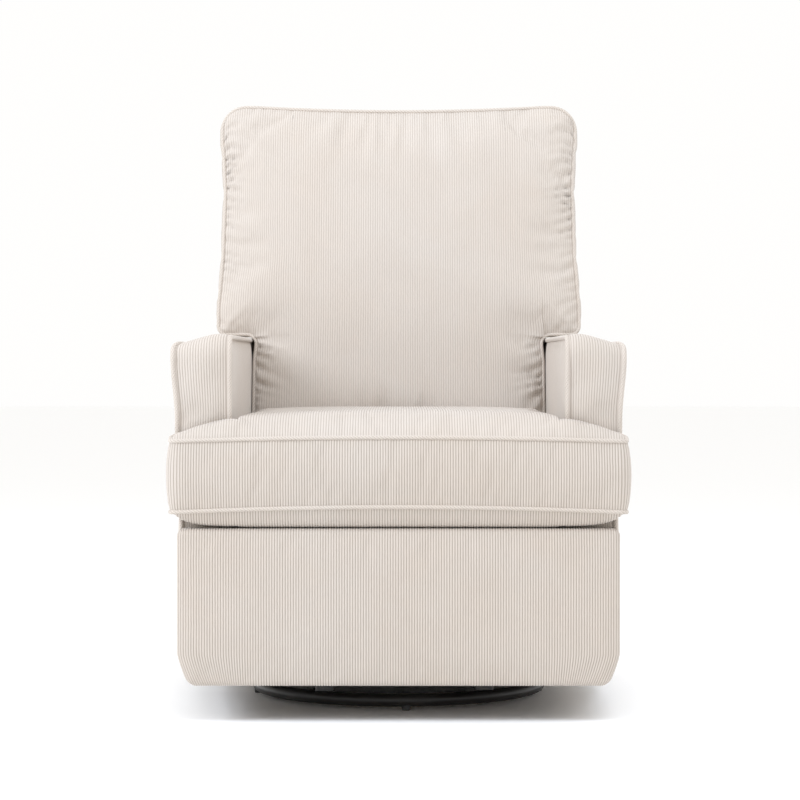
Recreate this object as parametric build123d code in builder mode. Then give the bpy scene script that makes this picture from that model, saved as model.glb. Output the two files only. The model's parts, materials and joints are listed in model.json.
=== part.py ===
from build123d import *
import math
import os

# Swivel glider recliner for a nursery.
# +Z up, the chair faces -Y, the origin is on the floor under the middle of the chair.
# "left" is the -X side and "right" the +X side. All sizes are in millimetres.

os.makedirs("parts", exist_ok=True)
SIDES = (("left", -1), ("right", 1))

# ---- ring base ----
swivel_y = -25.0          # the swivel axis stands a little in front of the middle
ring_radius = 247.0
ring_tube_radius = 11.0
ring_bottom_z = 6.0
base_turn = 2.9           # the ring stands turned by this many degrees
foot_radius = 7.5
foot_count = 4
bar_offset_x = 135.0
bar_width = 32.0
bar_height = 14.0
plate_thickness = 3.0
lower_plate_x = 302.0
lower_plate_y = 200.0
ball_radius = 5.8
ball_circle = 85.0
ball_count = 20
swivel_pin_radius = 10.0
running_clearance = 0.06

# ---- glider ----
upper_plate_size = 300.0
glider_rail_inner = 128.0
glider_rail_outer = 158.0
glider_rail_half_length = 175.0
upright_thickness = 4.0
upright_width = 44.0
upright_top_z = 232.0
link_spacing = 150.0      # the links hang this far in front of and behind the swivel axis
link_length = 130.0
top_pivot_z = 215.0
link_inner = 166.0
link_thickness = 4.0
link_half_width = 14.0
glide_pin_radius = 5.0
bush_radius = 9.0
hanger_inner = 174.0
hanger_thickness = 4.0
hanger_bottom_z = 70.0
pin_head = 2.5             # a pivot pin's head is this much wider than its shank
pin_head_thickness = 2.0
hex_radius = 7.0
hex_height = 5.0

# ---- seat frame ----
rail_inner = 240.0
rail_outer = 264.0
frame_bottom_z = 262.0
frame_top_z = 312.0
rail_front_y = -380.0
rail_rear_y = 250.0
front_rail_depth = 60.0
front_rail_thickness = 22.0
rear_rail_y = 225.0
rear_rail_depth = 25.0
member_width = 40.0
member_height = 24.0
member_bottom_z = 282.0
member_centres = (-90.0, 190.0)
spring_wire_radius = 1.9
spring_swing = 22.0
spring_lead = 14.0         # straight wire at each end of a spring
spring_clip = (16.0, 12.0)
seat_spring_places = (-180, -90, 0, 90, 180)
back_spring_places = (-150, -50, 50, 150)

# ---- arms ----
arm_inner = 272.0
arm_outer = 368.0
arm_front_y = -390.0
arm_rear_y = 390.0
arm_bottom_z = 58.0
arm_top_z = 631.0
arm_board_inner = 308.0
arm_board_thickness = 18.0
bolt_radius = 4.0
bolt_clearance = 0.2
arm_bolt_places = (-195.0, 130.0)
arm_bolt_z = 287.0
arm_bolt_head = 4.0        # a bolt's head is this much wider than its shank, and this thick
arm_rear_round = 45.0
arm_front_round = 14.0

# ---- release handle, in the left arm ----
cup_y = -210.0
cup_z = 460.0
cup_length = 104.0
cup_height = 60.0
cup_depth = 24.0
cup_wall = 3.0
cup_flange = 8.0           # the rim stands this much past the cup on each side
cup_flange_thickness = 2.0
handle_axis = (-361.0, -168.0)      # x, y
handle_pin_radius = 2.0
paddle_y = -212.0
paddle_length = 84.0
paddle_height = 38.0
paddle_thickness = 5.0

# ---- lower rear panel ----
rear_panel_thickness = 12.0
rear_panel_top_z = 280.0

# ---- seat cushion ----
cushion_front_y = -440.0
cushion_ear_rear_y = -394.0
cushion_rear_y = 147.0
cushion_bottom_z = 320.0
cushion_top_z = 498.0
ear_half_width = 374.0
ear_bottom_z = 335.0
ear_top_z = 466.0
cushion_round = 28.0
ear_round = 14.0

# ---- backrest ----
recline_pivot = (330.0, 330.0)      # y, z
recline_pin_radius = 5.0
bracket_thickness = 4.0
knuckle_radius = 66.0
lean = 15.9
back_front_y = 152.0
back_knee_z = 480.0
back_bottom_z = 400.0
back_top_z = 1066.0
back_thickness = 88.0
wing_bottom_z = 637.0
wing_half_width = 340.0
narrow_half_width = 265.0
shell_half_width = 256.0
shell_wing_half_width = 338.0
shell_wall = 8.0
shell_step_z = 372.0       # the outer back's front edge steps in here, under the cushion
back_rear_y = 440.0
stile_thickness = 18.0

# ---- footrest linkage: places are y, z with the footrest closed ----
drive_pivot = (-250.0, 255.0)
drive_length = 170.0
drive_angle = -88.0       # measured up from the forward direction
panel_pivot = (-378.0, 262.0)
guide_offset = 42.0
guide_tail = 30.0
guide_tail_turn = 5.0
panel_lever = 25.0
linkage_thickness = 3.0
linkage_half_width = 9.0
linkage_pin_radius = 4.0
side_plate_inner = 237.0
drive_inner = 232.0
long_inner = 227.0
control_inner = 222.0
bracket_inner = 217.0
open_pivot_clearance = 1.5

# ---- footrest panel ----
panel_half_width = 360.0
panel_front_y = -426.0
panel_rear_y = -393.0
panel_bottom_z = 58.0
panel_top_z = 312.0
board_thickness = 15.0
board_margin = 15.0
torque_tube_radius = 10.0
torque_tube_wall = 2.5


def toward(origin, length, angle):
    """The point (y, z) at a length from the origin, with the angle measured up from -Y."""
    turn = math.radians(angle)
    return (origin[0] - length * math.cos(turn), origin[1] + length * math.sin(turn))


def side_plane(side, inner, thickness):
    """The YZ plane of a plate that lies from inner to inner + thickness on one side."""
    return Plane.YZ.offset(inner if side > 0 else -(inner + thickness))


def save(part, label):
    part.label = label
    export_step(part, f"parts/{label}.step")


def plate_pair(label, inner, thickness, outline, holes):
    """A left and a right flat plate in the YZ direction, with (y, z) corners and (y, z, radius) holes."""
    with BuildPart() as plates:
        for side in (-1, 1):
            with BuildSketch(side_plane(side, inner, thickness)):
                with BuildLine():
                    Polyline(*outline, close=True)
                make_face()
                for y, z, radius in holes:
                    with Locations((y, z)):
                        Circle(radius, mode=Mode.SUBTRACT)
            extrude(amount=thickness)
    save(plates.part, label)


def link_pair(label, inner, thickness, half_width, points, holes):
    """A left and a right link: round-ended bars along the (y, z) points, with (y, z, radius) holes."""
    with BuildPart() as links:
        for side in (-1, 1):
            with BuildSketch(side_plane(side, inner, thickness)):
                for start, end in zip(points, points[1:]):
                    middle = ((start[0] + end[0]) / 2, (start[1] + end[1]) / 2)
                    tilt = math.degrees(math.atan2(end[1] - start[1], end[0] - start[0]))
                    with Locations(Location(middle, tilt)):
                        SlotCenterToCenter(math.dist(start, end), 2 * half_width)
                for y, z, radius in holes:
                    with Locations((y, z)):
                        Circle(radius, mode=Mode.SUBTRACT)
            extrude(amount=thickness)
    save(links.part, label)


def cross_pins(label, pins):
    """Pins along X: each is (y, z, radius, inner, outer), made on both sides of the chair."""
    with BuildPart() as group:
        for side in (-1, 1):
            for y, z, radius, inner, outer in pins:
                with BuildSketch(side_plane(side, inner, outer - inner)):
                    with Locations((y, z)):
                        Circle(radius)
                extrude(amount=outer - inner)
    save(group.part, label)


def blocks(label, *corners):
    """Square-edged boards, each between a low and a high corner."""
    with BuildPart() as boards:
        for low, high in corners:
            with BuildSketch(Plane.XY.offset(low[2])):
                with Locations(((low[0] + high[0]) / 2, (low[1] + high[1]) / 2)):
                    Rectangle(high[0] - low[0], high[1] - low[1])
            extrude(amount=high[2] - low[2])
    save(boards.part, label)


# ======== base: stands on the floor ========

ring_z = ring_bottom_z + ring_tube_radius
bar_bottom_z = ring_bottom_z + 2 * ring_tube_radius
bar_top_z = bar_bottom_z + bar_height
lower_plate_top_z = bar_top_z + plate_thickness
upper_plate_z = lower_plate_top_z + 2 * ball_radius + 0.4
turned_base = Plane((0, swivel_y, 0)).rotated((0, 0, base_turn))


def make_base_ring():
    with BuildPart() as ring:
        with BuildSketch(Plane((0, swivel_y, ring_z), x_dir=(1, 0, 0), z_dir=(0, -1, 0))):
            with Locations((ring_radius, 0)):
                Circle(ring_tube_radius)
        revolve(axis=Axis((0, swivel_y, 0), (0, 0, 1)))
    save(ring.part, "base_ring")
    return ring.part


def make_foot_glides(ring):
    with BuildPart() as feet:
        with BuildSketch(turned_base):
            with PolarLocations(ring_radius, foot_count, start_angle=-90):
                Circle(foot_radius)
        extrude(amount=ring_bottom_z + 3)
        chamfer(feet.edges().group_by(Axis.Z)[0], 1.0)
    # the top of each foot is hollowed to sit against the tube
    save(feet.part - ring, "foot_glides")


def make_cross_bars():
    bar_length = 2 * math.sqrt(ring_radius ** 2 - (bar_offset_x + bar_width / 2) ** 2) + 22
    with BuildPart() as bars:
        with BuildSketch(turned_base.offset(bar_bottom_z)):
            with Locations((-bar_offset_x, 0), (bar_offset_x, 0)):
                RectangleRounded(bar_width, bar_length, 4)
        extrude(amount=bar_height)
    save(bars.part, "base_cross_bars")


def make_swivel_bearing():
    with BuildPart() as plate:
        with BuildSketch(turned_base.offset(bar_top_z)):
            RectangleRounded(lower_plate_x, lower_plate_y, 14)
            Circle(swivel_pin_radius, mode=Mode.SUBTRACT)
        extrude(amount=plate_thickness)
    save(plate.part, "swivel_lower_plate")

    ball_z = lower_plate_top_z + ball_radius
    with BuildPart() as balls:
        with Locations(Location((0, swivel_y, ball_z))):
            with PolarLocations(ball_circle, ball_count):
                Sphere(ball_radius)
    save(balls.part, "bearing_balls")

    with BuildPart() as race:
        with BuildSketch(Plane((0, swivel_y, lower_plate_top_z))):
            Circle(ball_circle + 9)
            Circle(ball_circle - 9, mode=Mode.SUBTRACT)
        extrude(amount=ball_radius - 1)
        with BuildSketch(Plane((0, swivel_y, ball_z), x_dir=(1, 0, 0), z_dir=(0, -1, 0))):
            with Locations((ball_circle, 0)):
                Circle(ball_radius)
        revolve(axis=Axis((0, swivel_y, 0), (0, 0, 1)), mode=Mode.SUBTRACT)
    save(race.part, "ball_race")

    with BuildPart() as pin:
        with BuildSketch(Plane((0, swivel_y, bar_top_z))):
            Circle(swivel_pin_radius)
        extrude(amount=upper_plate_z + plate_thickness + 1.5 - bar_top_z)
        with BuildSketch(Plane((0, swivel_y, upper_plate_z + plate_thickness + 1.5))):
            Circle(swivel_pin_radius + 5)
        extrude(amount=4)
        chamfer(pin.edges().group_by(Axis.Z)[-1], 1.5)
    save(pin.part, "swivel_pin")

    with BuildPart() as bolts:
        with BuildSketch(turned_base.offset(lower_plate_top_z)):
            with GridLocations(2 * bar_offset_x, lower_plate_y - 50, 2, 2):
                RegularPolygon(hex_radius, 6)
        extrude(amount=hex_height)
    save(bolts.part, "base_plate_bolts")


# ======== turntable: turns on the base ========

rail_bottom_z = upper_plate_z + plate_thickness
link_low_z = top_pivot_z - link_length
glider_rail_x = (glider_rail_inner + glider_rail_outer) / 2
link_places = (swivel_y - link_spacing, swivel_y + link_spacing)


def make_turntable():
    with BuildPart() as plate:
        with BuildSketch(Plane((0, swivel_y, upper_plate_z))):
            RectangleRounded(2 * glider_rail_outer, upper_plate_size, 12)
            Circle(swivel_pin_radius + running_clearance, mode=Mode.SUBTRACT)
        extrude(amount=plate_thickness)
    save(plate.part, "swivel_upper_plate")

    with BuildPart() as rails:
        with BuildSketch(Plane((0, swivel_y, rail_bottom_z))):
            with Locations((-glider_rail_x, 0), (glider_rail_x, 0)):
                Rectangle(glider_rail_outer - glider_rail_inner, 2 * glider_rail_half_length)
        extrude(amount=20)
        with BuildSketch(Plane((0, swivel_y, rail_bottom_z))):
            with Locations((-glider_rail_x, 0), (glider_rail_x, 0)):
                Rectangle(glider_rail_outer - glider_rail_inner - 5, 2 * glider_rail_half_length)
        extrude(amount=17.5, mode=Mode.SUBTRACT)
    save(rails.part, "glider_base_rails")

    half = upright_width / 2
    for place, y in zip(("front", "rear"), link_places):
        outline = [
            (y - half - 14, rail_bottom_z), (y + half + 14, rail_bottom_z), (y + half, rail_bottom_z + 40),
            (y + 16, upright_top_z), (y - 16, upright_top_z), (y - half, rail_bottom_z + 40),
        ]
        plate_pair(f"glider_uprights_{place}", glider_rail_outer, upright_thickness, outline, [])

    pins = []
    for y in link_places:
        link_outer = link_inner + link_thickness
        pins.append((y, top_pivot_z, glide_pin_radius, glider_rail_outer + upright_thickness, link_outer))
        head = (glide_pin_radius + pin_head, link_outer, link_outer + pin_head_thickness)
        pins.append((y, top_pivot_z, *head))
    cross_pins("glide_top_pins", pins)

    with BuildPart() as bolts:
        with BuildSketch(Plane((0, swivel_y, upper_plate_z + plate_thickness))):
            with GridLocations(200, 220, 2, 2):
                RegularPolygon(hex_radius, 6)
        extrude(amount=hex_height)
    save(bolts.part, "turntable_bolts")


# ======== hanging glide links ========

def make_glide_links():
    for place, y in zip(("front", "rear"), link_places):
        eyes = [(y, top_pivot_z), (y, link_low_z)]
        link_pair(f"glide_links_{place}", link_inner, link_thickness, link_half_width, eyes,
                  [(*eye, bush_radius) for eye in eyes])
        with BuildPart() as bushes:
            for side in (-1, 1):
                for z in (top_pivot_z, link_low_z):
                    with BuildSketch(side_plane(side, link_inner, link_thickness)):
                        with Locations((y, z)):
                            Circle(bush_radius)
                            Circle(glide_pin_radius + running_clearance, mode=Mode.SUBTRACT)
                    extrude(amount=link_thickness)
        save(bushes.part, f"glide_bushes_{place}")


# ======== seat body ========

def make_hangers():
    outline = [
        (link_places[0] - 25, hanger_bottom_z), (link_places[1] + 25, hanger_bottom_z),
        (link_places[1] + 25, 120),
        (member_centres[1] + 20, member_bottom_z), (member_centres[0] - 45, member_bottom_z),
        (link_places[0] - 25, 120),
    ]
    plate_pair("glide_hangers", hanger_inner, hanger_thickness, outline, [])
    pins = []
    for y in link_places:
        pins.append((y, link_low_z, glide_pin_radius, link_inner, hanger_inner))
        pins.append((y, link_low_z, glide_pin_radius + pin_head, link_inner - pin_head_thickness, link_inner))
    cross_pins("glide_lower_pins", pins)


def make_seat_frame():
    corners = [(rail_front_y, frame_bottom_z), (rail_rear_y, frame_bottom_z),
               (rail_rear_y, frame_top_z), (rail_front_y, frame_top_z)]
    plate_pair("seat_side_rails", rail_inner, rail_outer - rail_inner, corners,
               [(y, arm_bolt_z, bolt_radius + bolt_clearance) for y in arm_bolt_places])
    blocks("seat_cross_rails",
           ((-rail_inner, rail_front_y, frame_top_z - front_rail_thickness),
            (rail_inner, rail_front_y + front_rail_depth, frame_top_z)),
           ((-rail_inner, rear_rail_y, frame_bottom_z),
            (rail_inner, rear_rail_y + rear_rail_depth, frame_top_z)))
    members = []
    for y in member_centres:
        low = (-rail_inner, y - member_width / 2, member_bottom_z)
        high = (rail_inner, y + member_width / 2, member_bottom_z + member_height)
        members.append((low, high))
    blocks("mechanism_members", *members)


def zigzag_spring(plane, x, start, end, half_wave):
    """A sinuous spring: a wire that swings from side to side on its way from start to end."""
    waves = int((end - start) / half_wave)
    points = [(x, start), (x, start + spring_lead)]
    for i in range(waves - 1):
        swing = spring_swing if i % 2 == 0 else -spring_swing
        along = start + spring_lead + half_wave * (i + 0.5)
        points.append((x + swing, along))
        points.append((x + swing, along + half_wave * 0.55))
    points.append((x, end - spring_lead))
    points.append((x, end))
    wire = plane.from_local_coords(FilletPolyline(*points, radius=7))
    return sweep(Plane(origin=wire @ 0, z_dir=wire % 0) * Circle(spring_wire_radius), path=wire)


def spring_group(label, plane, places, start, end, half_wave):
    springs = [zigzag_spring(plane, x, start, end, half_wave) for x in places]
    save(Compound(children=springs), label)


def make_seat_springs():
    spring_plane = Plane.XY.offset(frame_top_z + spring_wire_radius)
    start = rail_front_y + 30
    end = rear_rail_y + 14
    spring_group("seat_springs", spring_plane, seat_spring_places, start, end, 36)
    with BuildPart() as clips:
        with BuildSketch(Plane.XY.offset(frame_top_z)):
            with Locations(*[(x, y) for x in seat_spring_places for y in (start - 6, end + 6)]):
                Rectangle(*spring_clip)
        extrude(amount=2 * spring_wire_radius)
    save(clips.part, "seat_spring_clips")


def make_arms():
    board_rear = arm_rear_y - 25
    board_front = arm_front_y + 22
    board_bottom = arm_bottom_z + 4
    board_top = arm_top_z - 38
    corners = [(board_front, board_bottom), (board_rear, board_bottom),
               (board_rear, board_top), (board_front, board_top)]
    plate_pair("arm_boards", arm_board_inner, arm_board_thickness, corners,
               [(y, arm_bolt_z, bolt_radius + bolt_clearance) for y in arm_bolt_places])

    for name, side in SIDES:
        with BuildPart() as cover:
            with BuildSketch(Plane.XZ.offset(-arm_rear_y)):
                with Locations((side * (arm_inner + arm_outer) / 2, (arm_bottom_z + arm_top_z) / 2)):
                    Rectangle(arm_outer - arm_inner, arm_top_z - arm_bottom_z)
            extrude(amount=arm_rear_y - arm_front_y)
            rear_top = cover.edges().filter_by(Axis.X).group_by(Axis.Z)[-1].sort_by(Axis.Y)[-1]
            fillet(rear_top, arm_rear_round)
            front_top = cover.edges().filter_by(Axis.X).group_by(Axis.Z)[-1].sort_by(Axis.Y)[0]
            fillet(front_top, arm_front_round)
            # the pocket that the plywood board stands in, open below
            with BuildSketch(Plane.XY.offset(arm_bottom_z)):
                with Locations((side * (arm_board_inner + arm_board_thickness / 2),
                                (board_front + board_rear) / 2)):
                    Rectangle(arm_board_thickness + 1, board_rear - board_front + 2)
            extrude(amount=board_top - arm_bottom_z + 2, mode=Mode.SUBTRACT)
            bore_depth = arm_board_inner - arm_inner + 2
            with BuildSketch(side_plane(side, arm_inner, bore_depth)):
                for y in arm_bolt_places:
                    with Locations((y, arm_bolt_z)):
                        Circle(bolt_radius + bolt_clearance)
            extrude(amount=bore_depth, mode=Mode.SUBTRACT)
            if side < 0:
                with BuildSketch(Plane.YZ.offset(-arm_outer)):
                    with Locations((cup_y, cup_z)):
                        Rectangle(cup_length, cup_height)
                extrude(amount=cup_depth, mode=Mode.SUBTRACT)
        save(cover.part, f"arm_cover_{name}")

    pins = []
    for y in arm_bolt_places:
        pins.append((y, arm_bolt_z, bolt_radius, rail_inner, arm_board_inner + arm_board_thickness))
        pins.append((y, arm_bolt_z, bolt_radius + arm_bolt_head, rail_inner - arm_bolt_head, rail_inner))
    cross_pins("arm_bolts", pins)


def make_handle():
    flange_plane = Plane.YZ.offset(-arm_outer - cup_flange_thickness)
    with BuildPart() as cup:
        with BuildSketch(flange_plane):
            with Locations((cup_y, cup_z)):
                RectangleRounded(cup_length + 2 * cup_flange, cup_height + 2 * cup_flange, 14)
        extrude(amount=cup_flange_thickness)
        with BuildSketch(Plane.YZ.offset(-arm_outer)):
            with Locations((cup_y, cup_z)):
                Rectangle(cup_length, cup_height)
        extrude(amount=cup_depth)
        with BuildSketch(flange_plane):
            with Locations((cup_y, cup_z)):
                RectangleRounded(cup_length - 2 * cup_wall, cup_height - 2 * cup_wall, 6)
        extrude(amount=cup_depth + cup_flange_thickness - cup_wall, mode=Mode.SUBTRACT)
        with BuildSketch(Plane.XY.offset(cup_z - cup_height / 2)):
            with Locations(handle_axis):
                Circle(handle_pin_radius)
        extrude(amount=cup_height, mode=Mode.SUBTRACT)
    save(cup.part, "handle_cup")

    with BuildPart() as pin:
        with BuildSketch(Plane.XY.offset(cup_z - cup_height / 2)):
            with Locations(handle_axis):
                Circle(handle_pin_radius)
        extrude(amount=cup_height)
    save(pin.part, "handle_pin")

    with BuildPart() as paddle:
        with BuildSketch(Plane.YZ.offset(-arm_outer + 2)):
            with Locations((paddle_y, cup_z)):
                RectangleRounded(paddle_length, paddle_height, 8)
        extrude(amount=paddle_thickness)
        with BuildSketch(Plane.XY.offset(cup_z - paddle_height / 2)):
            with Locations(handle_axis):
                Circle(4.5)
        extrude(amount=paddle_height)
        fillet(paddle.edges().filter_by(GeomType.LINE).filter_by(Axis.Z).sort_by(Axis.Y)[0], 1.5)
        with BuildSketch(Plane.XY.offset(cup_z - paddle_height / 2 - 1)):
            with Locations(handle_axis):
                Circle(handle_pin_radius + running_clearance)
        extrude(amount=paddle_height + 2, mode=Mode.SUBTRACT)
    save(paddle.part, "release_handle")


def make_seat_cushion():
    with BuildPart() as cushion:
        with BuildSketch(Plane.XY.offset(cushion_bottom_z)):
            with Locations((0, (cushion_ear_rear_y + cushion_rear_y) / 2)):
                Rectangle(2 * (arm_inner - 4), cushion_rear_y - cushion_ear_rear_y)
        extrude(amount=cushion_top_z - cushion_bottom_z)
        fillet(cushion.edges().group_by(Axis.Z)[-1], cushion_round)
        with BuildSketch(Plane.XY.offset(ear_bottom_z)):
            with Locations((0, (cushion_front_y + cushion_ear_rear_y) / 2)):
                RectangleRounded(2 * ear_half_width, cushion_ear_rear_y - cushion_front_y, ear_round)
        extrude(amount=ear_top_z - ear_bottom_z)
    save(cushion.part, "seat_cushion")


def make_rear_panel():
    inner_y = arm_rear_y - rear_panel_thickness
    half = arm_inner - 2
    blocks("lower_rear_panel", ((-half, inner_y, arm_bottom_z + 2), (half, arm_rear_y, rear_panel_top_z)))
    blocks("lower_rear_rail",
           ((-half, inner_y - 22, rear_panel_top_z - 64), (half, inner_y, rear_panel_top_z - 19)))


def make_recline_brackets():
    y, z = recline_pivot
    outline = [(y - 150, frame_bottom_z + 4), (y - 20, frame_bottom_z + 4), (y + 18, z - 14),
               (y + 18, z + 14), (y - 8, z + 20), (y - 60, frame_top_z - 2), (y - 150, frame_top_z - 2)]
    plate_pair("recline_brackets", rail_outer, bracket_thickness, outline,
               [(y, z, recline_pin_radius + running_clearance)])


# ======== backrest ========

lean_run = math.tan(math.radians(lean))
cushion_back_y = back_front_y + back_thickness
frame_plane = Plane(
    origin=(0, cushion_back_y + 1, back_knee_z), x_dir=(-1, 0, 0),
    z_dir=(0, math.cos(math.radians(lean)), -math.sin(math.radians(lean))),
)


def leaned_y(z, start_y):
    """Where a line that starts to lean back at the knee has come to at height z."""
    return start_y + (z - back_knee_z) * lean_run


def make_back_cushion():
    with BuildPart() as cushion:
        with BuildSketch(Plane.YZ.offset(-wing_half_width)):
            with BuildLine():
                Polyline(
                    (back_front_y, back_bottom_z), (back_front_y, back_knee_z),
                    (leaned_y(back_top_z, back_front_y), back_top_z),
                    (leaned_y(back_top_z, cushion_back_y), back_top_z),
                    (cushion_back_y, back_knee_z), (cushion_back_y, back_bottom_z), close=True,
                )
            make_face()
        extrude(amount=2 * wing_half_width)
        fillet(cushion.edges().filter_by(GeomType.LINE).group_by(Axis.Z)[-1].filter_by(Axis.Y), 40)
        for side in (-1, 1):
            with BuildSketch(side_plane(side, narrow_half_width, 100)):
                with Locations(((back_front_y + back_rear_y) / 2, wing_bottom_z - 200)):
                    Rectangle(500, 400)
            extrude(amount=100, mode=Mode.SUBTRACT)
    save(cushion.part, "back_cushion")


def shell_solid(outline_front, outline_rear, radius, half_width, wing_width, wing_z):
    """The closed shape of the outer back: a leaned box with a round lower edge about the pivot."""
    y, z = recline_pivot
    with BuildPart() as solid:
        with BuildSketch(Plane.YZ.offset(-wing_width)):
            with BuildLine():
                Polyline((y - radius, z), *outline_front, *outline_rear, (y + radius, z))
                ThreePointArc((y + radius, z), (y, z - radius), (y - radius, z))
            make_face()
        extrude(amount=2 * wing_width)
        for side in (-1, 1):
            with BuildSketch(side_plane(side, half_width, 100)):
                with Locations((y, wing_z - 250)):
                    Rectangle(500, 500)
            extrude(amount=100, mode=Mode.SUBTRACT)
    return solid.part


def make_back_shell():
    shell_front_y = cushion_back_y + 1
    shell_top_z = back_top_z - 10
    front = [(shell_front_y, shell_step_z), (shell_front_y, back_knee_z),
             (leaned_y(shell_top_z, shell_front_y), shell_top_z)]
    rear = [(back_rear_y - 8, shell_top_z), (back_rear_y, shell_top_z - 16)]
    wing_z = wing_bottom_z + 3
    outer = shell_solid(front, rear, knuckle_radius, shell_half_width, shell_wing_half_width, wing_z)
    past = shell_front_y - 5
    inner_top = shell_top_z - shell_wall
    front = [(shell_front_y + shell_wall, shell_step_z), (shell_front_y + shell_wall, back_bottom_z + 5),
             (past, back_bottom_z + 5),
             (past, back_knee_z), (leaned_y(inner_top, past), inner_top)]
    rear = [(back_rear_y - 9, inner_top)]
    hollow = shell_solid(front, rear, knuckle_radius - shell_wall, shell_half_width - shell_wall,
                         shell_wing_half_width - shell_wall, wing_z + shell_wall)
    save(outer - hollow, "back_outer_shell")


def leaned_boards(label, *boards):
    """Boards of the leaned back frame: each is (x, low, width, height) along the frame plane."""
    with BuildPart() as frame:
        with BuildSketch(frame_plane.offset(1)):
            for x, low, width, height in boards:
                with Locations((x, low + height / 2)):
                    Rectangle(width, height)
        extrude(amount=stile_thickness)
    save(frame.part, label)


def make_back_frame():
    leaned_boards("back_stiles", (-235, 5, 24, 548), (235, 5, 24, 548))
    leaned_boards("back_wing_frames", (-316, 182, 24, 371), (316, 182, 24, 371),
                  (-275.5, 182, 57, 40), (275.5, 182, 57, 40))
    leaned_boards("back_cross_rails", (0, 553, 656, 32), (0, 5, 446, 40))
    blocks("back_bottom_rail", ((-244, cushion_back_y + 10, 406), (244, cushion_back_y + 28, 452)))

    spring_plane = frame_plane.offset(1 + stile_thickness + spring_wire_radius)
    spring_group("back_springs", spring_plane, back_spring_places, 25, 570, 40)
    with BuildPart() as clips:
        with BuildSketch(frame_plane.offset(1 + stile_thickness)):
            with Locations(*[(x, y) for x in back_spring_places for y in (19, 576)]):
                Rectangle(*spring_clip)
        extrude(amount=2 * spring_wire_radius)
    save(clips.part, "back_spring_clips")


def make_back_brackets():
    y, z = recline_pivot
    outline = [(y - 16, z - 16), (y + 16, z - 16), (y + 16, z + 30), (y - 10, z + 230),
               (y - 42, z + 230), (y - 42, z + 60)]
    plate_pair("back_brackets", shell_half_width, bracket_thickness, outline, [])
    cross_pins("recline_pins", [(y, z, recline_pin_radius, shell_half_width + bracket_thickness,
                                 rail_outer + bracket_thickness)])


# ======== footrest ========

knee = toward(drive_pivot, drive_length, drive_angle)
long_length = math.dist(knee, panel_pivot)
long_angle = math.degrees(math.atan2(panel_pivot[1] - knee[1], knee[0] - panel_pivot[0]))
guide_pivot = toward(drive_pivot, guide_offset, long_angle)
guide_knee = toward(knee, guide_offset, long_angle)
guide_end = toward(guide_knee, guide_tail, drive_angle + guide_tail_turn)
control_end = (panel_pivot[0], panel_pivot[1] - panel_lever)


def make_footrest_links():
    pin = linkage_pin_radius
    hole = linkage_pin_radius + running_clearance
    half = linkage_half_width
    thick = linkage_thickness
    plate_pair("footrest_side_plates", side_plate_inner, thick,
               [(-302, 300), (-262, 240), (-236, 240), (-225, 262), (-225, 310), (-292, 310)],
               [(*drive_pivot, pin), (*guide_pivot, pin)])
    link_pair("footrest_drive_links", drive_inner, thick, half, [drive_pivot, knee],
              [(*drive_pivot, hole), (*knee, pin)])
    link_pair("footrest_guide_links", drive_inner, thick, half, [guide_pivot, guide_knee, guide_end],
              [(*guide_pivot, hole), (*guide_knee, pin), (*guide_end, pin)])
    link_pair("footrest_long_links", long_inner, thick, half, [knee, panel_pivot],
              [(*knee, hole), (*guide_knee, pin + 0.3), (*panel_pivot, pin)])
    link_pair("footrest_control_links", control_inner, thick, half, [guide_end, control_end],
              [(*guide_end, hole), (*control_end, pin + open_pivot_clearance)])
    y, z = panel_pivot
    plate_pair("footrest_brackets", bracket_inner, thick,
               [(panel_rear_y + 1, z - 60), (y, z - panel_lever - 12), (y + 10, z - panel_lever),
                (y + 10, z), (y, z + 12), (panel_rear_y + 1, z + 30)],
               [(y, z, hole), (*control_end, pin)])

    cross_pins("footrest_frame_pins", [
        (*drive_pivot, pin, drive_inner - 3, side_plate_inner + thick),
        (*guide_pivot, pin, drive_inner, side_plate_inner + thick),
        (*guide_pivot, pin + 2, drive_inner - 2, drive_inner),
    ])
    cross_pins("footrest_knee_pins", [
        (*knee, pin, long_inner, drive_inner + thick), (*knee, pin + 2, long_inner - 1.5, long_inner),
    ])
    cross_pins("footrest_guide_pins", [
        (*guide_knee, pin, long_inner, drive_inner + thick),
        (*guide_end, pin, control_inner, drive_inner + thick),
        (*guide_end, pin + 2, control_inner - 1.5, control_inner),
    ])
    cross_pins("footrest_panel_pins", [
        (*panel_pivot, pin, bracket_inner, long_inner + thick),
        (*panel_pivot, pin + 2, bracket_inner - 1.5, bracket_inner),
    ])
    cross_pins("footrest_control_pins", [(*control_end, pin, bracket_inner, control_inner + thick)])

    with BuildPart() as tube:
        with BuildSketch(Plane.YZ.offset(-drive_inner)):
            with Locations(drive_pivot):
                Circle(torque_tube_radius)
                Circle(torque_tube_radius - torque_tube_wall, mode=Mode.SUBTRACT)
        extrude(amount=2 * drive_inner)
    save(tube.part, "footrest_torque_tube")


def make_footrest_panel():
    board_rear_y = panel_rear_y + 1
    board_front_y = board_rear_y - board_thickness
    half = panel_half_width - board_margin
    low = panel_bottom_z + board_margin
    high = panel_top_z - board_margin
    blocks("footrest_board", ((-half, board_front_y, low), (half, board_rear_y, high)))
    with BuildPart() as pad:
        with BuildSketch(Plane.XZ.offset(-panel_rear_y)):
            with Locations((0, (panel_bottom_z + panel_top_z) / 2)):
                RectangleRounded(2 * panel_half_width, panel_top_z - panel_bottom_z, 14)
        extrude(amount=panel_rear_y - panel_front_y)
        fillet(pad.faces().sort_by(Axis.Y)[0].edges(), 8)
        with BuildSketch(Plane.XZ.offset(-panel_rear_y)):
            with Locations((0, (low + high) / 2)):
                Rectangle(2 * half + 1, high - low + 1)
        extrude(amount=panel_rear_y - board_front_y + 0.5, mode=Mode.SUBTRACT)
    save(pad.part, "footrest_pad")


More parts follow.
